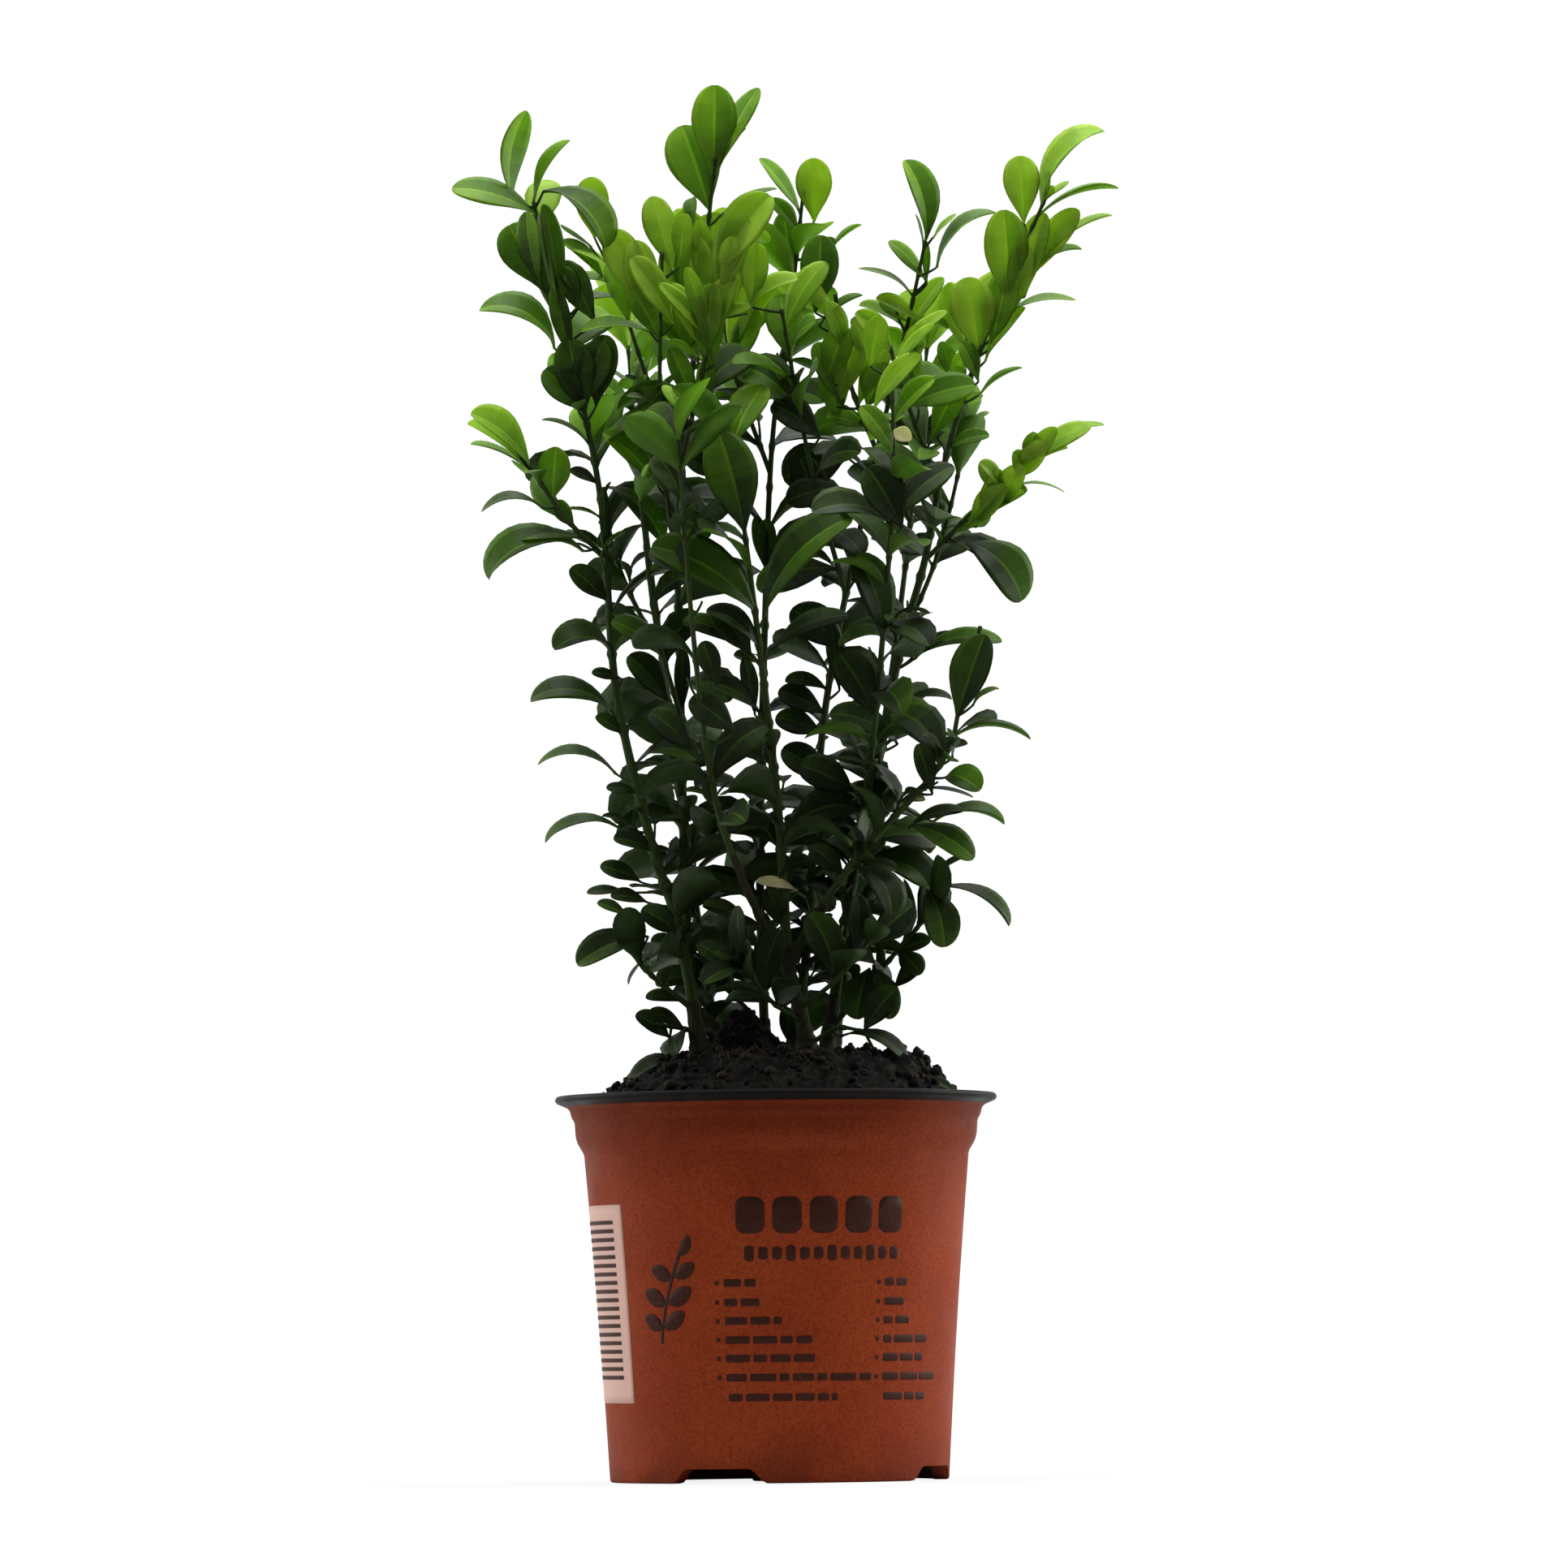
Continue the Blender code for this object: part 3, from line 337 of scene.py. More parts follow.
def grid_faces(rows, columns, around=False):
    """Quads of a grid of points numbered row by row; around joins the last column to the first."""
    row, column = np.meshgrid(np.arange(rows - 1), np.arange(columns - (not around)), indexing="ij")
    a = (row * columns + column).ravel()
    b = (row * columns + (column + 1) % columns).ravel()
    return np.column_stack([a, b, b + columns, a + columns])


def tube_faces(rows, sides):
    """The quads of a tube of rings, and its two end caps, facing out."""
    first = np.arange(sides)
    return [grid_faces(rows, sides, around=True), first[None, ::-1], first[None] + (rows - 1) * sides]


def fan(sides, middle):
    """Triangles from a middle point to the first ring of points."""
    around = np.arange(sides)
    return np.column_stack([np.full(sides, middle), around, (around + 1) % sides])


class Shell:
    """Points and faces gathered into one mesh. Faces come as arrays, one row a face, with finish numbers."""

    def __init__(self):
        self.points, self.faces, self.finishes, self.count = [], [], [], 0

    def add(self, points, faces, finish=0):
        points = np.asarray(points, float).reshape(-1, 3)
        for index, block in enumerate(faces):
            self.faces.append(block + self.count)
            chosen = finish[index] if isinstance(finish, (list, tuple)) else finish
            self.finishes.append(np.broadcast_to(chosen, len(block)))
        self.points.append(points)
        self.count += len(points)

    def make(self, name, materials, smooth=True):
        """The mesh object, its points scaled to metres."""
        mesh = bpy.data.meshes.new(name)
        corners = np.concatenate([block.ravel() for block in self.faces]).astype(np.int32)
        counts = np.concatenate([np.full(len(block), block.shape[1]) for block in self.faces])
        starts = np.concatenate([[0], np.cumsum(counts)[:-1]]).astype(np.int32)
        points = np.concatenate(self.points) * MM
        mesh.vertices.add(len(points))
        mesh.vertices.foreach_set("co", points.astype(np.float32).ravel())
        mesh.loops.add(len(corners))
        mesh.loops.foreach_set("vertex_index", corners)
        mesh.polygons.add(len(counts))
        mesh.polygons.foreach_set("loop_start", starts)
        used, finishes = np.unique(np.concatenate(self.finishes), return_inverse=True)
        for index in used:
            mesh.materials.append(materials[index])
        mesh.polygons.foreach_set("material_index", finishes.astype(np.int32))
        mesh.update(calc_edges=True)
        mesh.validate()
        if smooth:
            mesh.shade_smooth()
        obj = bpy.data.objects.new(name, mesh)
        bpy.context.scene.collection.objects.link(obj)
        return obj


WAVES = 20


def ripple(points, size, seed):
    """Smooth unevenness from -1 to 1 or so: a mean of cosine waves in seeded directions, about size long."""
    dice = np.random.default_rng(seed)
    direction = unit(dice.normal(size=(WAVES, 3)))
    number = direction * (2 * math.pi / size) * dice.uniform(0.6, 1.7, (WAVES, 1))
    phase = points @ number.T + dice.uniform(0, 2 * math.pi, WAVES)
    return np.cos(phase).sum(axis=-1) * (2 / WAVES) ** 0.5


# Finishes

class Value:
    """A socket that gives a number, a colour or a vector; Python's operators work on it as a number."""

    def __init__(self, nodes, socket):
        self.nodes, self.socket = nodes, socket

    def __add__(self, other):
        return self.nodes.node("Math", {"operation": "ADD"}, {0: self, 1: other})

    def __mul__(self, other):
        return self.nodes.node("Math", {"operation": "MULTIPLY"}, {0: self, 1: other})

    def __pow__(self, other):
        return self.nodes.node("Math", {"operation": "POWER"}, {0: self, 1: other})


class Nodes:
    """The node tree of a world or a material."""

    def __init__(self, tree, output):
        self.tree, self.output = tree, tree.nodes[output]

    def node(self, kind, settings=None, inputs=None, out=0):
        """A node of any kind: its settings first, then its sockets' values or links. Gives one output."""
        made = self.tree.nodes.new("ShaderNode" + kind)
        for key, value in (settings or {}).items():
            setattr(made, key, value)
        for key, value in (inputs or {}).items():
            self.put(made.inputs[key], value)
        return Value(self, made.outputs[out])

    def put(self, socket, value):
        if isinstance(value, Value):
            self.tree.links.new(value.socket, socket)
        else:
            socket.default_value = value

    def mix(self, share, first, second):
        """Sends a mix of two shaders to the output."""
        both = self.node("MixShader", None, {0: share, 1: first, 2: second})
        self.put(self.output.inputs["Surface"], both)

    def limit(self, value, low, high, to_low=0.0, to_high=1.0):
        """The value carried from one range to another, and held within it."""
        return self.node("MapRange", {"clamp": True}, {"Value": value, "From Min": low, "From Max": high,
                                                      "To Min": to_low, "To Max": to_high})


class Finish(Nodes):
    """One material, built round its Principled shader."""

    def __init__(self, name, **constants):
        constants.setdefault("Specular_IOR_Level", 0.12)
        self.material = bpy.data.materials.new(name)
        self.material.use_nodes = True
        super().__init__(self.material.node_tree, "Material Output")
        self.shader = self.tree.nodes["Principled BSDF"]
        self.skin = Value(self, self.shader.outputs[0])
        self.set(**constants)
        self.place = self.node("TexCoord", out="Object")

    def noise(self, scale, detail=2.0, place=None, roughness=0.5):
        """Noise in 0 to 1 on the piece's own coordinates; scale is how many features a metre has."""
        return self.node("TexNoise", None, {"Vector": place or self.place, "Scale": scale, "Detail": detail,
                                            "Roughness": roughness})

    def blend(self, share, first, second):
        """A colour between two others."""
        colours = [value if isinstance(value, Value) else (*value, 1) for value in (first, second)]
        return self.node("Mix", {"data_type": "RGBA"}, {0: share, 6: colours[0], 7: colours[1]}, out=2)

    def set(self, **links):
        for key, value in links.items():
            self.put(self.shader.inputs[key.replace("_", " ")], value)
        return self

    def bump(self, height, depth):
        """Relief from a height in 0 to 1 that is depth metres deep."""
        return self.set(Normal=self.node("Bump", None, {"Height": height, "Distance": depth}))


def plastic(name, colour, dark, roughness, soiled=0.0):
    """Matt moulded plastic: fine dark specks, cloudy patches, darker mottled patches towards the bottom and a
    fine grain.

    The last argument is how far the wall is darkened under the lip: painted shade, standing in for the shadow
    of the lip and the crown.
    """
    finish = Finish(name, Roughness=roughness, Specular_IOR_Level=0.05)
    clouds = finish.limit(finish.noise(38, 3), 0.35, 0.65)
    specks = finish.limit(finish.noise(1100, 2), 0.40, 0.64)
    blots = finish.limit(finish.noise(330, 4, roughness=0.6), 0.56, 0.74)
    height = finish.node("SeparateXYZ", None, {0: finish.place}, out="Z")
    low = finish.limit(height, 0.016, 0.0) * finish.limit(finish.noise(70, 4), 0.36, 0.62)
    tint = finish.blend(clouds, colour, dark)
    tint = finish.blend(specks * 0.42 + blots * 0.18, tint, tuple(0.42 * c for c in dark))
    tint = finish.blend(low * 0.5, tint, tuple(0.35 * c + 0.01 for c in dark))
    if soiled:
        # painted shade: the wall darkens towards the lip, for the shadow that the lip and the crown cast on
        # it
        lip_shadow_mask = finish.limit(height, 0.072, 0.106) ** 1.6 * finish.limit(clouds, 0, 1, 0.85, 1)
        tint = finish.blend(lip_shadow_mask * soiled, tint, tuple(0.1 * c for c in dark))
    gloss = finish.limit(finish.noise(60, 2), 0.3, 0.7, roughness - 0.06, roughness + 0.1)
    finish.set(Base_Color=tint, Roughness=gloss)
    return finish.bump(finish.noise(1300, 2), 0.00006).material


def ink():
    finish = Finish("printed ink", Roughness=0.6)
    worn = finish.limit(finish.noise(700, 3), 0.5, 0.72) * 0.5
    return finish.set(Base_Color=finish.blend(worn, (0.040, 0.011, 0.006), (0.085, 0.020, 0.009))).material


def paper(colour):
    finish = Finish("label paper", Roughness=0.5)
    finish.set(Base_Color=finish.blend(finish.noise(120, 3), colour, tuple(0.9 * c for c in colour)))
    return finish.bump(finish.noise(900, 2), 0.00004).material


def peat():
    """Damp peat: near black, with brown fibres' ends and rough all over."""
    finish = Finish("damp peat", Roughness=0.95)
    fibres = finish.limit(finish.noise(450, 4), 0.45, 0.7)
    finish.set(Base_Color=finish.blend(fibres, (0.0035, 0.0034, 0.003), (0.016, 0.0145, 0.011)))
    return finish.bump(finish.noise(1500, 4, roughness=0.7), 0.0004).material


def bark(name, green, brown):
    """Young bark: green under a thin brown skin that is cracked lengthwise."""
    finish = Finish(name, Roughness=0.75)
    stretched = finish.node("Mapping", None, {"Vector": finish.place, "Scale": (1, 1, 0.15)})
    streaks = finish.limit(finish.noise(1100, 4, place=stretched, roughness=0.65), 0.38, 0.62)
    patches = finish.limit(finish.noise(120, 3), 0.4, 0.6)
    finish.set(Base_Color=finish.blend(streaks * 0.6 + patches * 0.4, green, brown))
    return finish.bump(streaks, 0.00012).material


def leaf_skin(name, colour, glow, gloss=0.42):
    """A leaf's surface: faintly mottled, waxy, and letting through some light of a yellower green."""
    finish = Finish(name, Roughness=gloss, Specular_IOR_Level=0.16)
    mottle = finish.limit(finish.noise(170, 3), 0.36, 0.64)
    lighter = tuple(min(1.0, 1.16 * c + 0.002) for c in colour)
    darker = tuple(0.84 * c for c in colour)
    finish.set(Base_Color=finish.blend(mottle, darker, lighter))
    finish.bump(finish.noise(800, 2), 0.00005)
    finish.mix(0.4, finish.skin, finish.node("BsdfTranslucent", None, {"Color": (*glow, 1)}))
    return finish.material


# Pot

def notch_height(turn):
    """Height of the foot at a turn: 0 but in the notches, whose shoulders ease up by half a cosine wave."""
    half = 180 / NOTCHES
    nearest = np.abs((np.degrees(turn) + 90 - NOTCH_TURN + half) % (2 * half) - half)
    aside = FOOT_RADIUS * np.sin(np.radians(nearest))
    share = np.clip((NOTCH_WIDE / 2 - aside) / ((NOTCH_WIDE - NOTCH_NARROW) / 2), 0, 1)
    return NOTCH_HEIGHT * (1 - np.cos(math.pi * share)) / 2


def rounded(corners):
    """A section's corners (r, z, rounding) as points, each corner a short parabola."""
    corners = np.array(corners, float)
    points = [corners[0, :2]]
    t = np.linspace(0, 1, 5)[:, None]
    for before, here, after in zip(corners, corners[1:], corners[2:]):
        sides = [np.linalg.norm(other[:2] - here[:2]) for other in (before, after)]
        starts = [here[:2] + (other[:2] - here[:2]) * min(here[2] / side, 0.49)
                  for other, side in zip((before, after), sides)]
        points += list((1 - t) ** 2 * starts[0] + 2 * t * (1 - t) * here[:2] + t**2 * starts[1])
    return np.array(points + [corners[-1, :2]])


def wall_radius(z):
    """The outer wall's radius at a height: a straight taper that is drawn in a little half way up."""
    share = (z - FLOOR_TOP) / (COLLAR_FOOT - FLOOR_TOP)
    bow = WALL_BOW * np.sin(math.pi * np.clip(share, 0, 1))
    return FOOT_RADIUS + (WALL_TOP_RADIUS - FOOT_RADIUS) * share - bow


def pot_section():
    """The section from the middle of the underside, up the outside, over the rim and down to the floor."""
    lip_foot = POT_HEIGHT - LIP_HEIGHT
    inside = FOOT_RADIUS - FOOT_WIDTH
    below = [(0.0, 0.0, 0), (HUB_RADIUS, 0, 0.8), (HUB_RADIUS + 0.4, NOTCH_HEIGHT, 0.8),
             (inside, NOTCH_HEIGHT, 0.6), (inside, 0, 0.6), (FOOT_RADIUS - 0.35, 0, 0.9),
             (FOOT_RADIUS, FLOOR_TOP, 0)]
    heights = np.linspace(FLOOR_TOP, COLLAR_FOOT - 2, 24)[1:]
    wall = np.column_stack([wall_radius(heights), heights])
    top = [(*wall[-1], 0), (wall_radius(COLLAR_FOOT) - 0.05, COLLAR_FOOT, 1.2),
           (COLLAR_RADIUS - COLLAR_TAPER, COLLAR_FOOT + STEP_HEIGHT, 1.2),
           (COLLAR_RADIUS - 0.3, BAND_FOOT - 4.4, 1.0), (COLLAR_RADIUS, BAND_FOOT, 0.7),
           (BAND_RADIUS, BAND_FOOT + BAND_BEVEL, 0.6), (BAND_RADIUS + 0.6, lip_foot - BAND_BEVEL, 1.2),
           (RIM_RADIUS - 0.5, lip_foot + 0.2, 0.5), (RIM_RADIUS, lip_foot + LIP_HEIGHT / 2, 0.5),
           (RIM_RADIUS - 0.6, POT_HEIGHT, 0.5), (BAND_RADIUS, POT_HEIGHT, 1.0),
           (COLLAR_RADIUS - WALL, BAND_FOOT, 1.0),
           (COLLAR_RADIUS - COLLAR_TAPER - WALL, COLLAR_FOOT + STEP_HEIGHT, 1.0),
           (WALL_TOP_RADIUS - WALL, COLLAR_FOOT, 1.0), (FOOT_RADIUS - WALL, FLOOR_TOP, 1.0),
           (0.0, FLOOR_TOP, 0)]
    return np.vstack([rounded(below), wall[:-1], rounded(top)])


def make_pot(clay, lining):
    """The section carried round the Z axis; the foot is lifted at each notch, and drain holes are cut."""
    section = pot_section()[1:-1]
    turn = turns(POT_SIDES)
    radius, height = section[:, :1], np.repeat(section[:, 1:], POT_SIDES, axis=1)
    lift = notch_height(turn)[None] * (radius > FOOT_RADIUS - FOOT_WIDTH - 0.3)
    height = np.where(height < NOTCH_HEIGHT, np.maximum(height, lift * 0.995), height)
    rows = np.repeat(np.arange(len(section) - 1), POT_SIDES)
    lip = np.argmax((section[:, 0] > BAND_RADIUS + 1.5) & (section[:, 1] > BAND_FOOT))
    shell = Shell()
    shell.add(round_z(radius, turn, height), tube_faces(len(section), POT_SIDES),
              [(rows >= lip).astype(int), 0, 1])
    pot = shell.make("nursery_pot", [clay, lining])
    pot.data.set_sharp_from_angle(angle=math.radians(SHARP))
    for index in range(NOTCHES):
        at = math.radians(NOTCH_TURN + index * 360 / NOTCHES - 90)
        bar = np.array([(DRAIN_AT * math.cos(at), DRAIN_AT * math.sin(at), z) for z in (0.0, 5.0, 10.0)])
        drill = Shell()
        drill.add(rings(bar, [DRAIN_RADIUS] * 3, 32), tube_faces(3, 32), 1)
        drill = drill.make("drill", [clay, lining], smooth=False)
        cut = pot.modifiers.new("drain", "BOOLEAN")
        cut.object, cut.solver, cut.operation = drill, "EXACT", "DIFFERENCE"
        apply_modifiers(pot)
        bpy.data.objects.remove(drill)
    return pot


def apply_modifiers(obj):
    """Makes the evaluated mesh the object's own."""
    mesh = bpy.data.meshes.new_from_object(obj.evaluated_get(bpy.context.evaluated_depsgraph_get()))
    obj.modifiers.clear()
    obj.data = mesh


# Marks on the pot: a plain label and plain printed shapes, with no words

MARK_RADIUS = 53.5  # distances across the wall are measured round a circle of this radius


def on_wall(across, z, lift):
    """Points lift outside the pot's wall, across it from the front (to the right is +) and at a height."""
    turn = across / MARK_RADIUS
    radius = wall_radius(z) + lift
    return np.stack([radius * np.sin(turn), -radius * np.cos(turn), z], axis=-1)


def ribbon(shell, path, half, lift=0.06, finish=0):
    """A thin raised shape on the wall: a path (across, z) and half widths along it; its edges run in."""
    path, half = np.asarray(path, float), np.asarray(half, float)
    along = unit(np.gradient(path, axis=0))
    beside = np.column_stack([-along[:, 1], along[:, 0]])
    side = np.array([1, 1, 0.33, -0.33, -1, -1])
    depth = np.array([-0.1, lift, lift, lift, lift, -0.1])
    grid = path[:, None] + beside[:, None] * (half[:, None] * side)[..., None]
    depth = np.repeat(depth[None], len(path), axis=0)
    depth[[0, -1]] = -0.1
    points = on_wall(grid[..., 0], grid[..., 1], depth)
    shell.add(points, [grid_faces(len(path), len(side))], finish)


def bar(shell, left, right, z, high, lift=0.06, finish=0):
    """A straight bar with a quarter circle at each corner."""
    corner = min(0.28 * high, (right - left) / 2.5)
    turn = np.linspace(0, math.pi / 2, 5)
    end = corner * (1 - np.cos(turn))
    middle = np.linspace(left + corner, right - corner, max(3, int((right - left) / 1.5)))[1:-1]
    run = np.concatenate([left + end, middle, (right - end)[::-1]])
    rise = high / 2 - corner + corner * np.sin(turn)
    half = np.concatenate([rise, np.full(len(middle), high / 2), rise[::-1]])
    ribbon(shell, np.column_stack([run, np.full(len(run), z)]), half, lift, finish)


def leaf_mark(shell, x, z, angle, length, wide):
    """A lens: half width a sine of the way along it."""
    t = np.linspace(0, 1, 14)
    turn = math.radians(angle) + 0.5 * (t - 0.5)
    path = np.cumsum(np.column_stack([np.cos(turn), np.sin(turn)]) * length / 13, axis=0)
    ribbon(shell, path - path[0] + (x, z), wide / 2 * np.sin(math.pi * t) ** 0.8)


LABEL = (-91.0, -51.5, 23.2, 80.8)  # left, right, foot, top
ROWS_AT = (57.6, 52.0, 46.7, 41.2, 35.9, 30.4, 24.7)
LEFT_ROWS = (9.5, 10.5, 17.0, 27.5, 27.5, 45.0, 34.0)
RIGHT_ROWS = (8.5, 9.5, 10.0, 18.5, 17.5, 24.0, 18.5)


def make_marks(ink_black, label_white):
    """A title of five blocks, a line of dashes under it, a leafy sprig and two columns of ruled lines."""
    shell = Shell()
    for k in range(5):
        left = -12.0 + k * 10.5
        bar(shell, left, left + 8.6, 77.0, 10.6)
    for k in range(12):
        left = -9.6 + k * 4.0
        bar(shell, left, left + 2.9, 66.0, 3.6 if k % 3 else 4.6)
    for column, rows in ((-18.5, LEFT_ROWS), (30.5, RIGHT_ROWS)):
        for z, length in zip(ROWS_AT, rows):
            last = z == ROWS_AT[-1]
            if not last:
                bar(shell, column - 0.2, column + 1.1, z, 1.3)
            dice = random.Random(int(100 * z + column))
            left, stop = column + (3.2 if last else 2.6), column + 2.6 + length
            while left < stop - 1.5:
                right = min(stop, left + dice.uniform(3.0, 8.5))
                bar(shell, left, right, z, 2.2)
                left = right + 0.9
    stalk = np.linspace(0, 1, 20)
    ribbon(shell, np.column_stack([-37.5 + 9 * stalk**1.5, 39.5 + 29 * stalk]), 0.55 + 0 * stalk)
    for x, z, angle, length, wide in ((-36.8, 44.0, 150, 8.5, 4.6), (-36.6, 45.0, 30, 9.5, 4.8),
                                      (-35.2, 51.0, 152, 9.5, 5.2), (-34.6, 52.0, 28, 10.0, 5.2),
                                      (-32.6, 58.5, 155, 8.5, 4.6), (-31.8, 59.5, 30, 8.5, 4.4),
                                      (-29.4, 65.5, 62, 7.0, 3.6)):
        leaf_mark(shell, x, z, angle, length, wide)
    marks = shell.make("printed_marks", [ink_black])
    left, right, foot, top = LABEL
    sticker = Shell()
    rows = np.linspace(foot, top, 24)
    across = np.concatenate([[left], np.linspace(left, right, 30), [right]])
    lift = np.full((len(rows) + 2, len(across)), 0.12)
    lift[:, [0, -1]] = lift[[0, -1]] = -0.1
    rows = np.concatenate([[foot], rows, [top]])
    points = on_wall(*np.meshgrid(across, rows), lift)
    sticker.add(points, [grid_faces(len(rows), len(across))], 0)
    for k in range(19):
        bar(sticker, left + 4.5, right - 5.0, foot + 7.5 + 2.5 * k, 1.15, lift=0.2, finish=1)
    label = sticker.make("plain_label", [label_white, ink_black])
    return marks, label


# Soil

def soil_height(x, y):
    """A mound that falls to the wall, with the lumpy plug that the plant was raised in standing up in it."""
    dx, dy = x - MOUND_CENTRE[0], y - MOUND_CENTRE[1]
    r = np.hypot(dx, dy) + 1e-6
    to_wall = WALL_TOP_RADIUS - (MOUND_CENTRE[0] * dx + MOUND_CENTRE[1] * dy) / r
    fall = np.clip((r - MOUND_RADIUS) / (to_wall - MOUND_RADIUS), 0, 1)
    mound = SOIL_EDGE + (MOUND_TOP - SOIL_EDGE) * (1 - fall**FALL_CURVE)
    away = np.hypot(x - PLUG_CENTRE[0], y - PLUG_CENTRE[1])
    plug = PLUG_HEIGHT * np.exp(-((away / PLUG_RADIUS) ** 3))
    lumps = sum(high * np.sin(by_x * x + by_y * y + start) for high, by_x, by_y, start in LUMPS)
    return mound + plug + lumps * (1 - fall**2)


def crumbled(x, y):
    """The soil's height with its crumbs: the mound and finer and finer unevenness."""
    flat = np.stack([x, y, 0 * x], axis=-1)
    coarse, middling, fine = ripple(flat, 4.5, 1), ripple(flat, 2.6, 2), ripple(flat, 1.4, 3)
    return soil_height(x, y) + 0.3 * coarse + 0.32 * middling + 0.2 * fine


def eased_to_edge(radius, height, relief):
    """Soil heights, eased near the wall to just below SOIL_EDGE, where that share of their relief is left."""
    share = np.clip((radius - SHOULDER) / SHOULDER_WIDTH, 0, 1)
    return height * (1 - share) + (SOIL_EDGE - EDGE_DROP + relief * (height - SOIL_EDGE)) * share


def make_soil(material):
    """A disc of rings at the crumbled height, closed by a skirt that runs down inside the pot's wall."""
    sides, count = 224, 72
    turn = turns(sides)
    radius = (SHOULDER + SHOULDER_WIDTH) * np.linspace(0, 1, count + 1)[1:, None]
    height = crumbled(radius * np.cos(turn), radius * np.sin(turn))
    top = round_z(radius, turn, eased_to_edge(radius, height, 0.3))
    points = np.concatenate([top, [round_z(r, turn, h) for r, h in SKIRT]])
    middle = np.array([[0, 0, float(crumbled(np.zeros(1), np.zeros(1))[0])]])
    faces = grid_faces(len(points), sides, around=True)[:, ::-1]
    last = np.arange(sides)[None, ::-1] + (len(points) - 1) * sides
    shell = Shell()
    shell.add(np.concatenate([points.reshape(-1, 3), middle]), [faces, fan(sides, len(points) * sides), last])
    return shell.make("potting_soil", [material])


def lump_shape():
    """The twelve corners and twenty faces of an icosahedron."""
    g = (1 + 5**0.5) / 2
    corners = unit(np.array([(-1, g, 0), (1, g, 0), (-1, -g, 0), (1, -g, 0), (0, -1, g), (0, 1, g),
                             (0, -1, -g), (0, 1, -g), (g, 0, -1), (g, 0, 1), (-g, 0, -1), (-g, 0, 1)], float))
    faces = np.array([(0, 11, 5), (0, 5, 1), (0, 1, 7), (0, 7, 10), (0, 10, 11), (1, 5, 9), (5, 11, 4),
                      (11, 10, 2), (10, 7, 6), (7, 1, 8), (3, 9, 4), (3, 4, 2), (3, 2, 6), (3, 6, 8),
                      (3, 8, 9), (4, 9, 5), (2, 4, 11), (6, 2, 10), (8, 6, 7), (9, 8, 1)])
    return corners, faces


def make_crumbs(materials):
    """Loose crumbs: icosahedra, each corner pushed in or out and each crumb flattened, lying on the soil."""
    dice = np.random.default_rng(11)
    corners, faces = lump_shape()
    radius, turn = 57.6 * np.sqrt(dice.uniform(0, 1, CRUMBS)), dice.uniform(0, 2 * math.pi, CRUMBS)
    size = 0.35 + 1.5 * dice.uniform(0, 1, CRUMBS) ** 3
    uneven = dice.uniform(0.7, 1.25, (CRUMBS, len(corners), 1))
    shapes = corners[None] * uneven * (size[:, None] * dice.uniform(0.7, 1.3, (CRUMBS, 3)))[:, None]
    height = crumbled(radius * np.cos(turn), radius * np.sin(turn))
    points = shapes + round_z(radius, turn, eased_to_edge(radius, height, 0.0) + 0.25 * size)[:, None]
    shell = Shell()
    shell.add(points, [(faces[None] + len(corners) * np.arange(CRUMBS)[:, None, None]).reshape(-1, 3)],
              np.repeat(dice.integers(0, len(materials), CRUMBS), len(faces)))
    return shell.make("soil_crumbs", materials, smooth=False)


def make_fibres(material):
    """Peat fibres: thin bent tubes that lie on the soil with their ends in it."""
    dice = np.random.default_rng(5)
    shell = Shell()
    t = np.linspace(-0.5, 0.5, 7)
    for _ in range(FIBRES):
        turn, radius = dice.uniform(0, 2 * math.pi), 50 * dice.uniform(0, 1) ** 0.5
        way, length = dice.uniform(0, 2 * math.pi), dice.uniform(4, 11)
        way = way + dice.uniform(-1.2, 1.2) * t
        x = radius * math.cos(turn) + length * t * np.cos(way)
        y = radius * math.sin(turn) + length * t * np.sin(way)
        line = np.column_stack([x, y, crumbled(x, y) + 0.5 - 5 * np.abs(t) ** 2.5])
        shell.add(rings(line, np.full(len(t), dice.uniform(0.12, 0.28)), 4), tube_faces(len(t), 4))
    return shell.make("peat_fibres", [material])


# Limbs, by the solids' own rule

class Twig(NamedTuple):
    """A leafy line and how its leaves are set."""

    node: str
    line: np.ndarray
    stalk: np.ndarray
    start: float  # length along the line where it turns leafy
    girth: float  # radius there
    lowest: float
    face: float
    seed: int
    leaf: float
    pitch: float


class Limb(NamedTuple):
    """A bare stem or bough."""

    node: str
    line: np.ndarray
    end: float
    girth: float
    end_girth: float
    flare: float


def sprung_from(parent, points):
    """The waypoints, the first one moved to the nearest place on the middle of their parent limb."""
    middle = even_steps(parent, CORE_STEP)
    return (middle[np.argmin(np.linalg.norm(middle - np.array(points[0]), axis=1))], *points[1:])


def start_clear(line, radius, sides, parents):
    """How far along its line a limb's solid begins: as near to its parent's as the gap allows."""
    fine = even_steps(line, START_STEP)
    around = rings(fine, np.full(len(fine), radius), sides)
    for k in range(round(START_WITHIN / START_STEP), 0, -1):
        if min(tree.find_nearest(Vector(corner))[3] for tree in parents for corner in around[k]) < GAP:
            return float(lengths(fine)[k + 1])
    return 0.0


def tube_tree(line, radii, sides, ahead, level_foot=False):
    """What the solids' rule measures distances to: the closed tube of a limb."""
    points = rings(line, radii, sides, ahead).reshape(-1, 3)
    if level_foot:
        points[:sides, 2] = line[0, 2]
    faces = [face for block in tube_faces(len(line), sides) for face in block.tolist()]
    return BVHTree.FromPolygons(points.tolist(), faces)


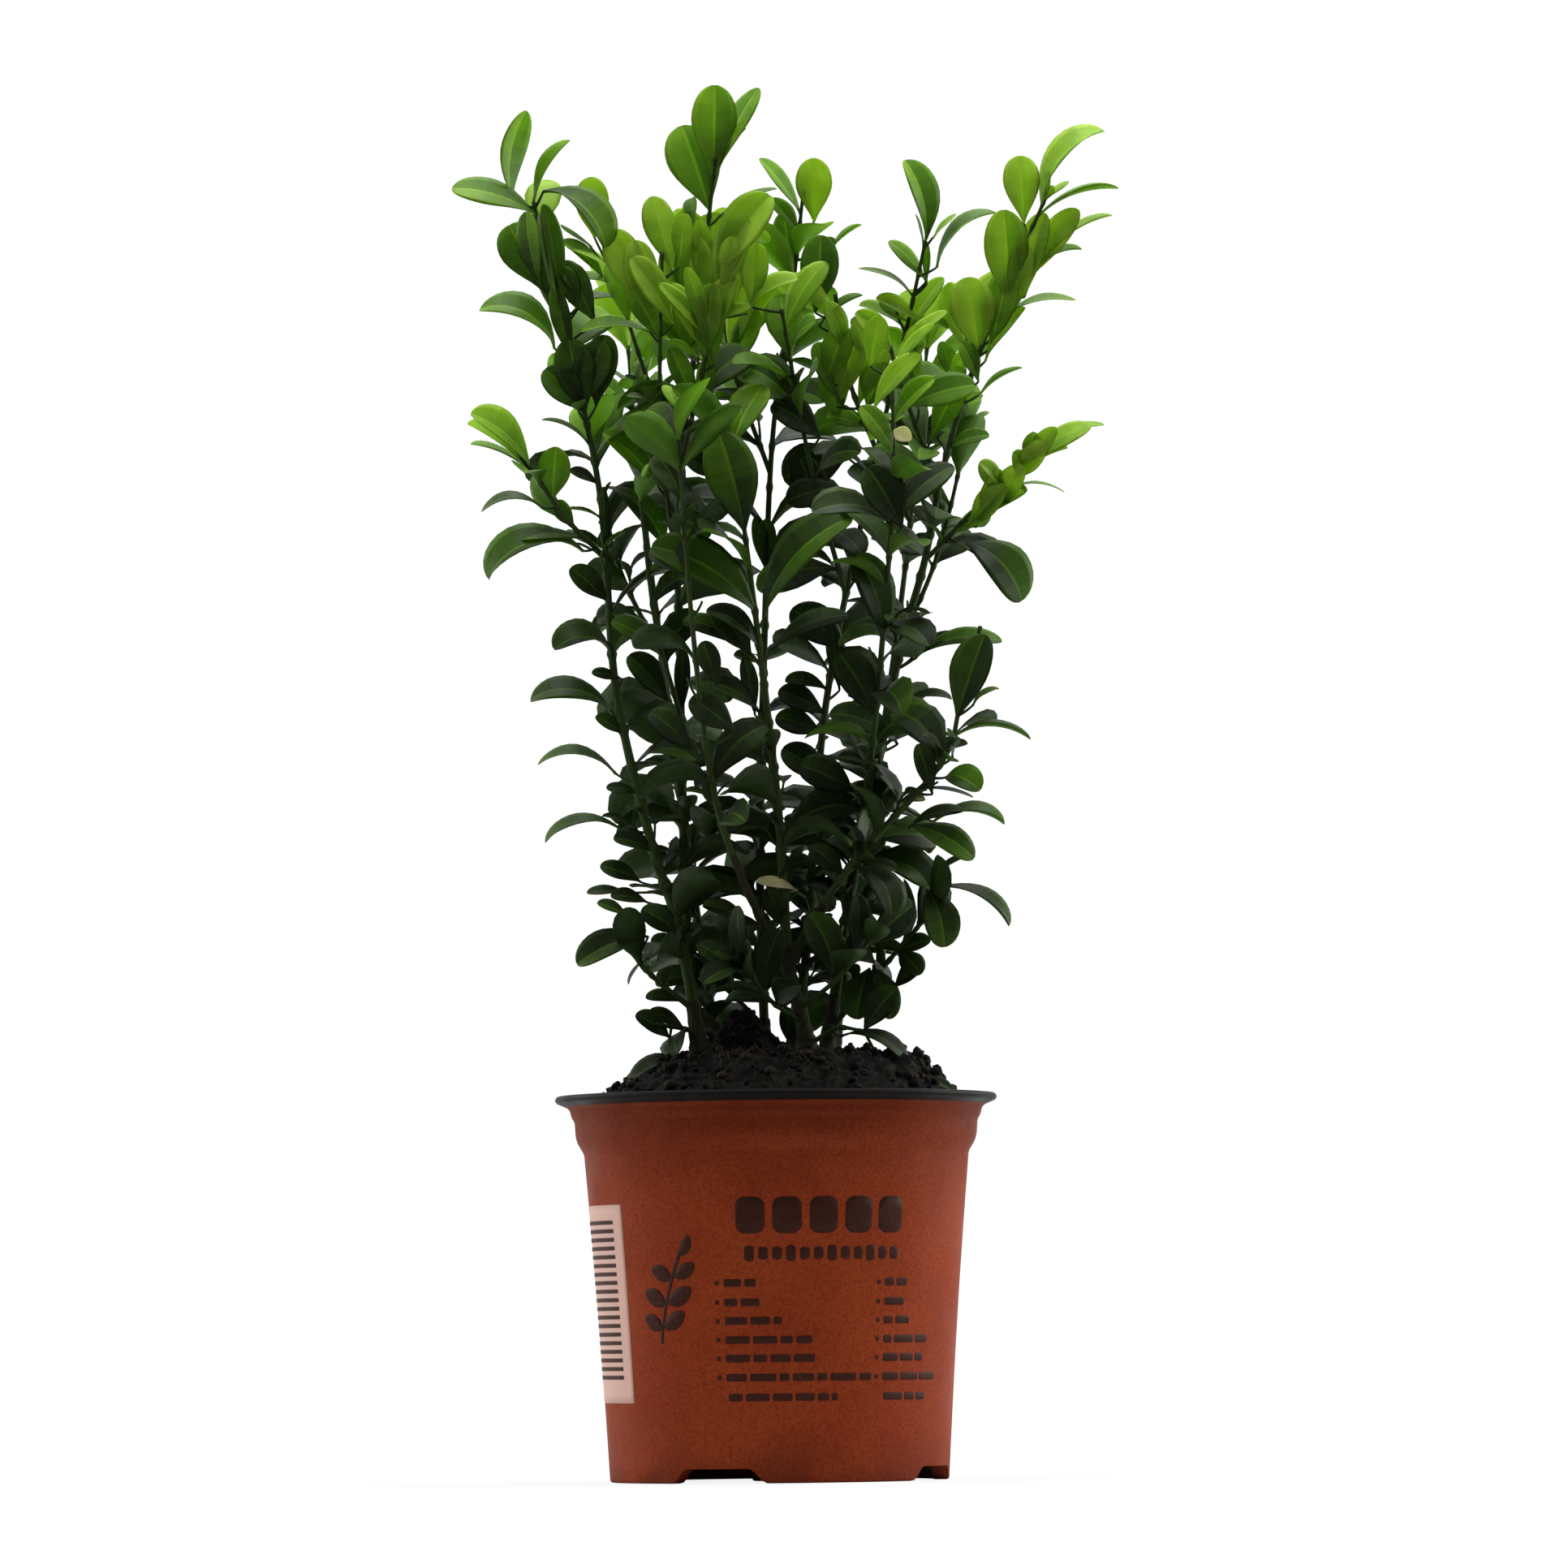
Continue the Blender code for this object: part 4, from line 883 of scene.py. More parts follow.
def plan_limbs():
    """Every bare limb and leafy twig, in the solids' order."""
    above, limbs, twigs = {}, [], []
    for axis in AXES:
        sides = STEM_SIDES if axis.bare_to else TWIG_SIDES
        if axis.parent:
            parent_line, trees = above[axis.parent]
            line = smooth_line(sprung_from(parent_line, axis.points), LINE_STEP)
            start = start_clear(line, axis.girth, sides, trees)
        else:
            foot = (*axis.points[0][:2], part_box("stem_" + axis.name)[0].z / MM)
            line, start = smooth_line((foot, *axis.points[1:]), LINE_STEP), 0.0
        total = lengths(line)[-1]
        end = run_at_height(line, axis.bare_to) if axis.bare_to else start
        end_girth = np.interp(end, [0, total], [axis.girth, TIP_GIRTH])
        trees = []
        if axis.bare_to:
            flare = 0.0 if axis.parent else FLARE
            bare, ahead = piece(line, start, end, STEM_STEP)
            radii = girths(bare, axis.girth, end_girth, flare)
            trees.append(tube_tree(bare, radii, sides, ahead, level_foot=not axis.parent))
            kind = "bough_" if axis.parent else "stem_"
            limbs.append(Limb(kind + axis.name, line, end, axis.girth, end_girth, flare))
        stalk, ahead = piece(line, end + (GAP if axis.bare_to else 0), total, TWIG_STEP)
        trees.append(tube_tree(stalk, girths(stalk, end_girth, TIP_GIRTH), TWIG_SIDES, ahead))
        above[axis.name] = line, trees
        node = ("shoot_" if axis.bare_to else "sprig_") + axis.name
        lowest = end + (FIRST_LEAF if axis.bare_to else TWIG_BARE)
        begin = end if axis.bare_to else 0.0
        twigs.append(Twig(node, line, stalk, begin, end_girth, lowest, axis.face, axis.seed, axis.leaf,
                          axis.pitch))
        for waypoints, face, seed, leaf in axis.twigs:
            waypoints = sprung_from(stalk, waypoints)
            twigs.append(Twig(node, smooth_line(waypoints, LINE_STEP), smooth_line(waypoints, TWIG_STEP), 0.0,
                              TWIG_GIRTH, TWIG_BARE, face, seed, leaf, axis.pitch * TWIG_PITCH))
    return limbs, twigs


BARK_SIDES, BARK_STEP = 20, 0.7
SUNK = 1.5  # how far a stem's foot runs down into the soil
INTO_TWIG = 0.4  # how far a limb runs on under the twig that grows out of it
JOINT_PITCH = 13  # between the swellings at old joints


def make_limb(limb, material):
    """A round stem whose radius has long ridges, cracks, a swelling at each old joint and its root flare."""
    at = np.linspace(0, limb.end + INTO_TWIG, max(6, round(limb.end / BARK_STEP)))
    line = part_way(limb.line, lengths(limb.line), at)
    radii = (limb.girth + (limb.end_girth - limb.girth) * at / limb.end)
    radii = radii * (1 + limb.flare * np.exp(-at / FLARE_REACH))
    if limb.flare:
        line = np.vstack([line[0] - (0, 0, SUNK), line])
        radii, at = np.concatenate([radii[:1] * 1.1, radii]), np.concatenate([[-SUNK], at])
    seed = sum(map(ord, limb.node))
    joint = 0.12 * np.exp(-(((at + seed) % JOINT_PITCH - JOINT_PITCH / 2) / 1.1) ** 2)
    skin = rings(line, radii, BARK_SIDES)
    ridges = ripple(skin * (1, 1, 0.12), 1.3, seed)
    knobs = ripple(skin, 3.2, seed + 1)
    angled = 0.05 * np.cos(4 * turns(BARK_SIDES))[None]
    relief = 1 + angled + joint[:, None] + 0.055 * ridges + 0.04 * knobs
    shell = Shell()
    shell.add(rings(line, radii[:, None] * relief, BARK_SIDES), tube_faces(len(line), BARK_SIDES))
    return shell.make("bark_" + limb.node, [material])


# Leaves

class Leaf(NamedTuple):
    root: np.ndarray
    axis: np.ndarray
    out: np.ndarray
    angle: float
    bend: float
    roll: float
    length: float
    tone: float  # 0 for the darkest, 1 for the youngest and lightest; painted light and shade are part of it
    width: float = 0.0  # against its length; 0 leaves it to chance


def outline(t):
    """A leaf's half width along its length: a wedge at the root, widest past the middle, round at the tip."""
    return np.sin(math.pi * np.asarray(t, float) ** WIDEST) ** FULLNESS


def blade_width(t):
    """A finished leaf's half width: the same wedge up to the widest place, then a quarter ellipse."""
    t = np.asarray(t, float)
    widest = 0.5 ** (1 / WIDEST)
    cap = np.sqrt(1 - np.clip((t - widest) / (1 - widest), 0, 1) ** 2)
    return np.where(t < widest, outline(np.minimum(t, widest)), cap)


def leaf_points(leaves, t, side, lift):
    """Points of all leaves: t along each midrib's arc, side across it and lift above it in mm.

    The midrib leaves its stem at the leaf's angle and turns evenly by its bend; t, side and lift broadcast
    to (leaves, points).
    """
    columns = [np.array(column)[:, None] for column in zip(*leaves)]
    root, axis, out, angle, bend, roll, length = columns[:7]
    bend = np.where(np.abs(bend) > 1e-3, bend, 1e-3)
    here = angle + bend * t
    along = (np.sin(here) - np.sin(angle)) / bend
    away = (np.cos(angle) - np.cos(here)) / bend
    across = np.cross(axis, out)
    upper = np.sin(here)[..., None] * axis - np.cos(here)[..., None] * out
    c, s = np.cos(roll)[..., None], np.sin(roll)[..., None]
    return (root + length[..., None] * (along[..., None] * axis + away[..., None] * out)
            + side[..., None] * (c * across + s * upper) + lift[..., None] * (c * upper - s * across))


def rim_corners(leaf):
    """The four rim corners that the leaf's solid has."""
    t = np.array([at for at, _ in RIM])
    wide = LEAF_WIDTH * leaf.length / 2 * outline(t)
    side = np.array([side for _, side in RIM]) * wide
    return leaf_points([leaf], (t + TIP_ROOM * (t > 0.5))[None], side[None], (LEAF_FOLD * wide)[None])[0]


def seen(places):
    """Where places appear in the plane y = 0 from OPEN_FROM."""
    return OPEN_FROM + (places - OPEN_FROM) * (OPEN_FROM[1] / (OPEN_FROM[1] - places[..., 1:2]))


def behind(x, z, y):
    """The place at depth y that appears at x, z."""
    return OPEN_FROM + (np.array([x, 0, z]) - OPEN_FROM) * (1 - y / OPEN_FROM[1])


def fills_opening(leaf):
    """Whether any of twenty places spread over a leaf's blade lies in an opening of the crown."""
    t, u = (grid.ravel() for grid in np.meshgrid((0.3, 0.55, 0.8, 1.0), (-1, -0.5, 0, 0.5, 1)))
    side = u * BLADE_WIDTHS[0] * leaf.length / 2 * outline(np.minimum(t, 0.93))
    places = seen(leaf_points([leaf], t[None], side[None], 0 * side[None])[0])
    away = np.hypot(places[:, None, 0] - OPENINGS[:, 0], places[:, None, 2] - OPENINGS[:, 1])
    return bool((away < OPENINGS[:, 2]).any())


def solid_tree(solid):
    """A tree of a solid's corners, in millimetres."""
    corners = solid.data.vertices
    tree = KDTree(len(corners))
    for index, corner in enumerate(corners):
        tree.insert(corner.co / MM, index)
    tree.balance()
    return tree


def young_share(total, run):
    return math.exp(-(total - run) / YOUNG_REACH)


def share_past(value, start, reach, least=0):
    """0 up to the start and 1 from the reach beyond it, or a least share in place of 0."""
    return min(max((value - start) / reach, least), 1)


def tone_of(place, young, dice):
    """How light a leaf is: lighter at the top, outside and in front, which is mostly painted light and shade,
    paler towards the tips, where the leaves are young, and with some chance.
    """
    x, y, z = place
    high = share_past(z, 290, 70)
    high = high * high * (3 - 2 * high)
    tip, low = share_past(z, 215, 90, 0.1), share_past(z, 130, 90)
    deep, outer = share_past(y, -10, 70), share_past(abs(x), 30, 30)
    # painted light and shade: lit at the top and outside, shaded low down and behind; the youth term is the
    # young leaves' own paler green
    steady = 0.01 + 0.15 * low + 0.40 * high + 0.12 * low * outer - 0.12 * deep
    return steady + 0.40 * young**1.5 * tip + dice.uniform(-0.12, 0.12)


def grow_leaves(twig, tree, shades):
    """Opposite pairs from the tip down by the solids' rule, each leaf where its own solid is found.

    Gives the leaves and, for each pair, its length along the line and its youth.
    """
    total = lengths(twig.line)[-1]
    core = even_steps(twig.stalk, CORE_STEP)
    run, turn, rank = total - 1.0, twig.face, 0
    leaves, pairs = [], []
    while run > twig.lowest:
        dice = random.Random(MOST_PAIRS * twig.seed + rank)

        def swing(most):
            return dice.uniform(-most, most)

        young = young_share(total, run)
        foot, ahead, across, beside = at_run(twig.line, run)
        root = core[np.argmin(np.linalg.norm(core - foot, axis=1))]
        pair_turn = turn + swing(PAIR_SWING)
        outs = []
        for side in (0, 180):
            azimuth = pair_turn + side + swing(SIDE_SWING)
            angle = OLD_ANGLE + (YOUNG_ANGLE - OLD_ANGLE) * young + swing(ANGLE_SWING)
            bend = OLD_BEND + (YOUNG_BEND - OLD_BEND) * young + swing(BEND_SWING)
            roll = swing(ROLL_SWING)
            size = twig.leaf * (1 - (1 - TIP_LEAF) * young**2) * dice.uniform(*SIZES)
            found, best = 0, None
            for spin, tilt, share in TRIES:
                out = heading(math.radians(azimuth + spin), across, beside)
                leaf = Leaf(root, ahead, out, *map(math.radians, (angle + tilt, bend, roll)),
                            size * share, tone_of(foot, young, shades))
                hits = sum(tree.find(Vector(corner))[2] < SAME_PLACE for corner in rim_corners(leaf))
                if hits > found:
                    found, best = hits, leaf
            if best:
                leaves.append(best)
                outs.append(best.out)
        pairs.append((run, young, foot, ahead, across, beside, pair_turn))
        run -= twig.pitch * (1 - (1 - TIP_PITCH) * young) * dice.uniform(*SPACINGS)
        turn += 90
        rank += 1
    return leaves, pairs


LEAF_ROWS = np.array([0, 0.12, 0.28, 0.46, 0.64, 0.79, 0.90, 0.97, 1.0])
LEAF_COLUMNS = np.array([-1, -0.72, -0.07, 0.07, 0.72, 1])
ROW_SHADES = np.array([-3, -2, -1, 0, 1, 2, 2, 2])  # levels of green lighter or darker, from root to tip: partly the young tip's paler green, partly painted light where the leaf arches
FINE_ROWS = np.array([0, 0.06, 0.14, 0.23, 0.33, 0.43, 0.53, 0.62, 0.71, 0.79, 0.86, 0.92, 0.96, 0.985, 1.0])
FINE_SHADES = np.interp(FINE_ROWS[1:], LEAF_ROWS[1:], ROW_SHADES)  # the same for the posed leaves
COLUMN_SHADES = np.array([0, -1, 3, -1, 0])  # from edge to edge, with the rib in the middle
COLUMN_SIDES = np.array([-1, -1, 0, 1, 1])
SIDE_SHADE = 2.2  # most levels that one side of the rib is lighter than the rib, and the other darker: painted light and shade on the two halves of the fold
ROW_STRENGTH = (0.3, 1.3)  # how much of ROW_SHADES a leaf shows
DRY = 1.5  # a tone above this is a dry leaf's
LEAST_BLADE, HALF_STALK = 0.14, 0.35  # half widths: a share of the widest, and millimetres
FOLD_SWING = (-0.06, 0.34)
EDGE_WAVE, HOLLOW = 0.05, 0.16
THICKNESS, STALK_THICKER = 0.14, 0.5
LEVELS = 16
LEVEL_STEP = 0.06
BACKS = 4


def leaf_faces(rows, columns):
    """The faces of one leaf: its upper side, then its underside with its two ends as three sided faces."""
    top = grid_faces(rows, columns)
    low = rows * columns + np.arange(rows)
    left, right = np.arange(rows) * columns, np.arange(rows) * columns + columns - 1
    under = np.concatenate([np.column_stack([a[:-1], b[:-1], b[1:], a[1:]])
                            for a, b in ((low, left), (right, low))])
    root_end = np.concatenate([np.arange(columns), low[:1]])[None]
    tip_end = np.concatenate([np.arange(columns) + (rows - 1) * columns, low[-1:]])[None, ::-1]
    return [top, under, np.concatenate([root_end, tip_end])]


def add_leaves(shell, leaves, dice, t, row_shades):
    """Every leaf's points at once: its outline over a stalk of a share of a millimetre, folded and dished.

    Across the blade the height is the fold's, which rises evenly from the rib, less a hollow along the rib,
    plus a slow wave along the edge. Its green is a level lighter or darker from face to face: darker along
    the edges and pale on the rib; darker at the root and lighter towards the tip, partly the young tip's
    paler green and partly painted light; and lighter on one half of the rib than on the other, which is
    painted light and shade.
    """
    count = len(leaves)
    chance = dice.uniform(*BLADE_WIDTHS, count)
    given = np.array([leaf.width for leaf in leaves])
    half = (np.where(given > 0, given, chance) / 2 * np.array([leaf.length for leaf in leaves]))[:, None]
    blade = np.maximum(blade_width(t), LEAST_BLADE)
    blade[0] = 0
    wide = np.maximum(half * blade, HALF_STALK)
    u = LEAF_COLUMNS
    side = (wide[..., None] * u).reshape(count, -1)
    fold = LEAF_FOLD + dice.uniform(*FOLD_SWING, (count, 1, 1))
    wave = EDGE_WAVE * np.sin(5.5 * t[None, :, None] + dice.uniform(0, 6.3, (count, 1, 1))) * u**2
    dish = HOLLOW * (np.abs(u) - u**2)
    rise = wide[..., None] * (fold * np.abs(u) + dish + wave)
    thick = THICKNESS + STALK_THICKER * (1 - t) ** 6
    lift = (rise + np.where(np.abs(u) < 0.5, thick[:, None] * 0.6, 0)).reshape(count, -1)
    top = leaf_points(leaves, np.repeat(t, len(u))[None], side, lift)
    low = leaf_points(leaves, t[None], np.zeros((count, len(t))), np.tile(-thick, (count, 1)))
    points = np.concatenate([top, low], axis=1)
    step = points.shape[1] * np.arange(count)[:, None, None]
    blocks = [(block[None] + step).reshape(-1, block.shape[1]) for block in leaf_faces(len(t), len(u))]

    tone = np.array([leaf.tone for leaf in leaves]) / LEVEL_STEP
    # painted light and shade: one half of the fold lighter than the other; the rows lighter towards the tip,
    # partly painted light
    across = COLUMN_SHADES + dice.uniform(-SIDE_SHADE, SIDE_SHADE, (count, 1, 1)) * COLUMN_SIDES
    along = row_shades[:, None] * dice.uniform(*ROW_STRENGTH, (count, 1, 1))
    shades = np.clip(np.floor(tone[:, None, None] + across + along), 0, LEVELS - 1).astype(int)
    shades[tone > DRY / LEVEL_STEP] = LEVELS + BACKS
    backs = LEVELS + np.clip(tone * BACKS / LEVELS, 0, BACKS - 1).astype(int)
    under = 2 * len(t) - 2
    shell.add(points, blocks, [shades.ravel(), np.repeat(backs, under), np.repeat(backs, 2)])


class Posed(NamedTuple):
    """A leaf with a place of its own, as it is seen from the front."""

    x: float
    z: float
    tip_x: float
    tip_z: float
    nearer: float  # how far its tip lies in front of its root
    facing: float  # how far its upper side is turned from the front, anticlockwise about the leaf
    bend: float
    width: int  # in hundredths of its length
    tone: int  # in hundredths, how light its green is, painted light and shade included


POSED = (
    (-70, 374, -93, 382, 3, -45, 42, 48, 61), (-75, 378, -71, 405, 0, -57, -60, 46, 69),
    (-70, 379, -58, 396, 0, 64, 37, 44, 55), (-66, 381, -48, 364, 4, 52, 90, 54, 43),
    (-51, 367, -52, 385, 3, 0, 30, 56, 85), (-67, 352, -76, 371, -3, 8, 30, 58, 47),
    (-67, 353, -71, 375, 5, 40, 30, 42, 51), (-52, 364, -61, 371, 0, 80, -30, 40, 47),
    (-42, 353, -59, 364, 3, -68, 35, 42, 92), (-42, 352, -58, 355, 3, -62, 35, 42, 78),
    (-45, 348, -59, 348, 2, -60, 40, 42, 60), (-23, 334, -50, 340, 6, -60, 50, 17, 80),
    (-35, 339, -55, 339, 4, -62, 40, 40, 70), (-28, 357, -34, 379, -3, 0, 25, 42, 92),
    (-35, 346, -46, 369, -2, 5, 25, 44, 92), (-28, 341, -40, 361, 4, -20, 30, 40, 92),
    (-24, 338, -29, 365, 4, -8, 22, 40, 88), (-23, 339, -21, 367, 5, 5, 20, 40, 76),
    (-16, 356, -27, 375, 3, -25, 30, 48, 92), (-15, 356, 1, 379, 2, 20, 30, 50, 90),
    (-14, 373, 3, 381, 0, 72, 28, 42, 38), (-5, 346, -3, 365, 3, 0, 30, 44, 92),
    (-10, 346, -11, 361, 4, 0, 25, 46, 92), (9, 354, 5, 374, -2, 10, 20, 40, 46),
    (-6, 344, 9, 354, 6, 55, 60, 46, 92), (-18, 336, -10, 355, 6, 25, 40, 42, 82),
    (-5, 336, 5, 353, 5, 35, 60, 46, 74), (-18, 375, -25, 400, -3, -8, 22, 60, 55),
    (-17, 385, -15, 412, 0, 0, 15, 50, 65), (-16, 385, -2, 411, 2, 55, 18, 46, 63),
    (-16, 379, -6, 399, 0, 80, 35, 40, 33), (10, 373, -2, 390, 0, -60, 16, 50, 62),
    (14, 371, 14, 390, 2, 0, 12, 58, 92), (13, 357, 20, 366, 3, 20, 30, 50, 36),
    (18, 362, 28, 370, 0, 74, 25, 40, 56), (14, 344, 16, 367, 3, -5, 30, 50, 40),
    (15, 340, 28, 349, 0, 70, 34, 44, 38), (48, 366, 41, 389, 2, -42, 55, 46, 55),
    (50, 357, 68, 373, 0, 68, 78, 44, 49), (47, 353, 36, 365, 2, -45, 30, 44, 67),
    (44, 348, 27, 357, 0, -72, 52, 44, 39), (47, 363, 44, 373, 0, -75, 10, 40, 45),
    (49, 366, 56, 373, -2, 60, 10, 40, 81), (83, 374, 100, 397, 2, 60, 80, 46, 77),
    (76, 370, 75, 390, -2, 0, 20, 54, 89), (71, 346, 70, 374, 4, -6, 24, 48, 75),
    (78, 354, 92, 374, 2, 32, 16, 42, 92), (81, 372, 104, 380, 0, 80, 46, 40, 67),
    (81, 358, 102, 372, 0, 74, 46, 42, 92), (79, 356, 93, 362, 0, 68, 58, 44, 67),
    (70, 343, 91, 347, 0, 70, 48, 44, 67), (64, 329, 76, 345, 2, 58, 40, 42, 77),
    (62, 319, 75, 327, 0, 76, 34, 42, 57), (64, 331, 59, 354, 3, 0, 30, 60, 92),
    (46, 340, 32, 348, 4, -45, 30, 44, 92), (42, 337, 52, 354, 2, 42, 16, 40, 79),
    (35, 330, 53, 344, 7, 50, 30, 28, 91), (36, 328, 49, 340, 8, 45, 30, 26, 73),
    (17, 323, 23, 340, 4, 10, 30, 52, 70), (30, 328, 33, 343, 5, 0, 25, 50, 78),
    (29, 316, 35, 329, 8, 10, 30, 66, 58), (43, 316, 61, 322, 7, 30, 40, 54, 50),
    (44, 313, 30, 306, 6, -55, 100, 46, 68), (28, 309, 17, 313, 5, -35, 40, 52, 54),
    (51, 304, 65, 307, 2, 40, 50, 48, 46), (60, 311, 65, 314, 0, 50, 20, 44, 48),
    (-63, 334, -85, 346, 2, -54, 105, 52, 57), (-54, 315, -66, 328, 2, -12, 45, 60, 29),
    (-55, 317, -49, 336, 3, 12, 35, 58, 25), (-39, 315, -52, 325, 6, -48, 34, 52, 59),
    (-33, 293, -49, 309, 5, -38, 40, 42, 53), (-71, 298, -88, 315, 14, -50, 48, 48, 72),
    (-71, 297, -89, 312, 9, -62, 20, 40, 82), (-68, 295, -88, 306, 6, -78, 44, 42, 54),
    (-64, 289, -63, 305, 6, 0, 16, 60, 56), (-67, 287, -85, 286, 0, -66, 92, 44, 30),
    (-58, 280, -63, 289, 0, 10, 60, 52, 38), (-55, 274, -83, 266, 3, -54, 112, 46, 34),
    (-49, 259, -59, 269, 2, -18, 24, 52, 16), (-54, 304, -67, 313, 0, -76, 56, 40, 30),
    (-50, 294, -59, 298, 0, -40, 24, 50, 10), (-49, 242, -64, 245, 12, -58, 112, 50, 16),
    (-47, 226, -71, 230, 2, -54, 104, 46, 24), (-46, 208, -69, 211, 0, -70, 90, 44, 26),
    (-45, 192, -67, 188, 0, -68, 86, 44, 24), (-44, 236, -53, 238, 2, -40, 30, 50, 8),
    (-44, 219, -52, 225, 2, -34, 24, 52, 22), (-39, 202, -49, 204, 2, -40, 40, 48, 12),
    (75, 297, 95, 309, 12, 56, 46, 46, 82), (78, 299, 78, 308, 8, 0, 20, 60, 68),
    (75, 296, 72, 302, 8, -30, 20, 60, 62), (77, 298, 88, 303, 8, 74, 20, 40, 84),
    (61, 280, 76, 291, 6, 48, 60, 52, 62), (69, 290, 62, 299, 6, -26, 10, 56, 62),
    (70, 291, 87, 290, 0, 78, 60, 36, 54), (57, 275, 74, 258, 5, 36, 100, 58, 26),
    (41, 241, 57, 247, 2, 58, 74, 36, 8), (54, 223, 63, 248, 4, 14, 30, 46, 22),
    (42, 241, 68, 246, 8, 50, 70, 28, 36), (59, 227, 67, 232, 0, 66, 60, 50, 30),
    (55, 218, 76, 217, 0, 80, 68, 40, 28), (51, 206, 61, 202, 9, 30, 84, 60, 38),
    (45, 202, 59, 200, 0, 76, 24, 36, 14), (47, 193, 68, 192, 0, 70, 76, 44, 32),
    (40, 192, 59, 182, 3, 40, 54, 50, 34), (47, 177, 58, 183, 0, 70, 20, 42, 14),
    (49, 174, 69, 162, 0, 68, 66, 42, 12), (45, 173, 50, 156, 6, 20, 80, 56, 22),
    (-4, 255, -35, 275, 8, -32, 76, 40, 34), (-2, 254, 24, 283, 8, 42, 76, 38, 34),
    (-8, 279, -15, 309, 7, -8, 50, 50, 36), (-39, 176, -51, 181, 2, -34, 30, 50, 12),
    (-43, 173, -55, 173, 2, -50, 30, 40, 18), (-43, 166, -52, 170, 2, -40, 30, 46, 26),
    (-37, 160, -58, 152, 4, -36, 54, 46, 18), (-37, 154, -43, 146, 0, -72, 44, 40, 4),
    (-31, 130, -41, 137, 4, -30, 40, 52, 7), (-51, 342, -58, 359, 0, 20, 30, 50, 34),
    (-54, 348, -61, 360, -2, -20, 30, 50, 30), (-51, 317, -48, 338, 2, 8, 30, 50, 22),
    (-32, 336, -41, 353, 3, -15, 30, 42, 66), (-23, 331, -25, 352, 8, 0, 30, 42, 74),
    (-20, 331, -16, 353, 8, 12, 30, 40, 68), (-24, 332, -34, 348, 6, -15, 30, 40, 70),
    (-10, 327, -3, 345, 6, 20, 40, 42, 60), (22, 316, 14, 335, 4, -20, 40, 46, 48),
    (39, 323, 46, 335, 6, 30, 30, 40, 60), (44, 323, 41, 333, 7, 0, 30, 50, 52),
    (55, 323, 51, 335, 4, -10, 30, 44, 54), (62, 323, 57, 335, 2, -20, 30, 46, 52),
    (0, 268, -1, 283, 4, 0, 20, 40, 24), (-23, 341, -24, 375, 3, 0, 30, 46, 84),
    (-19, 341, -15, 374, 3, 5, 30, 48, 76), (-14, 348, -7, 374, 3, 15, 30, 40, 88),
    (-41, 355, -47, 369, 3, -10, 30, 46, 92), (-35, 343, -39, 366, 2, 0, 30, 44, 90),
    (-20, 334, -29, 353, 6, -20, 40, 36, 92), (-12, 331, -4, 354, 6, 25, 40, 36, 92),
    (-16, 329, -18, 353, 8, 0, 30, 36, 66), (-60, 339, -68, 375, 2, 50, 20, 26, 35),
    (-54, 314, -59, 337, 3, 0, 30, 52, 27), (76, 348, 82, 373, 2, 26, 20, 38, 85),
    (73, 344, 76, 364, 3, 0, 20, 40, 77), (66, 333, 72, 357, 2, 14, 20, 42, 67),
    (20, 316, 27, 338, 7, 10, 30, 38, 80), (27, 316, 36, 336, 7, 20, 30, 36, 76),
    (31, 315, 45, 331, 8, 35, 40, 36, 82), (20, 311, 18, 331, 5, -10, 30, 46, 66),
    (36, 311, 49, 324, 7, 40, 40, 42, 66), (48, 306, 57, 323, 4, 20, 30, 46, 58),
    (36, 302, 27, 316, 5, -30, 50, 46, 60), (-48, 293, -32, 277, 4, 40, 70, 40, 24),
    (-30, 242, -47, 253, 5, -40, 60, 44, 32), (-8, 244, -26, 253, 4, -40, 70, 40, 22),
    (-31, 229, -42, 243, 3, -20, 50, 50, 6), (-24, 215, -36, 226, 3, -20, 60, 55, 4),
    (-4, 226, -21, 235, 5, -40, 70, 42, 16), (21, 292, 5, 288, 4, -20, 60, 56, 4),
    (39, 280, 29, 298, 5, -10, 40, 60, 10), (33, 247, 25, 272, 5, -30, 70, 46, 14),
    (37, 245, 20, 245, 4, -60, 90, 40, 22), (29, 225, 20, 243, 3, -10, 60, 50, 5),
    (17, 232, 4, 235, 2, -40, 60, 44, 5), (37, 216, 17, 225, 6, -40, 70, 46, 18),
    (38, 227, 53, 229, 2, 60, 70, 36, 6), (70, 291, 62, 299, 10, -40, 20, 42, 78),
    (59, 280, 70, 292, 12, 20, 30, 42, 74), (66, 286, 75, 298, 12, 10, 30, 42, 82),
    (72, 294, 82, 305, 12, 10, 30, 40, 86), (54, 277, 66, 285, 10, 40, 20, 38, 66),
    (66, 286, 75, 290, 9, 40, 20, 34, 72), (7, 173, -5, 176, 4, -40, 50, 34, 200),
    (-6, 243, -17, 257, 3, -10, 50, 52, 7), (-11, 220, -24, 230, 2, -20, 50, 60, 5),
    (14, 219, 1, 224, 2, -30, 50, 60, 6), (20, 232, 18, 251, 2, 0, 20, 28, 6),
    (-25, 225, -26, 245, 2, 0, 20, 24, 5), (15, 307, 1, 317, 2, -20, 50, 60, 6),
    (-15, 295, -25, 302, 2, -20, 30, 60, 6), (24, 202, 8, 210, 2, -20, 50, 60, 5),
    (20, 178, 11, 186, 2, -20, 40, 60, 6), (-7, 163, -21, 169, 3, -50, 50, 50, 5),
    (2, 162, -2, 174, 2, 0, 20, 50, 5), (4, 127, 3, 139, 2, 0, 20, 40, 6),
    (-27, 140, -38, 142, 3, -40, 40, 44, 7), (35, 144, 44, 151, 3, 40, 30, 60, 12),
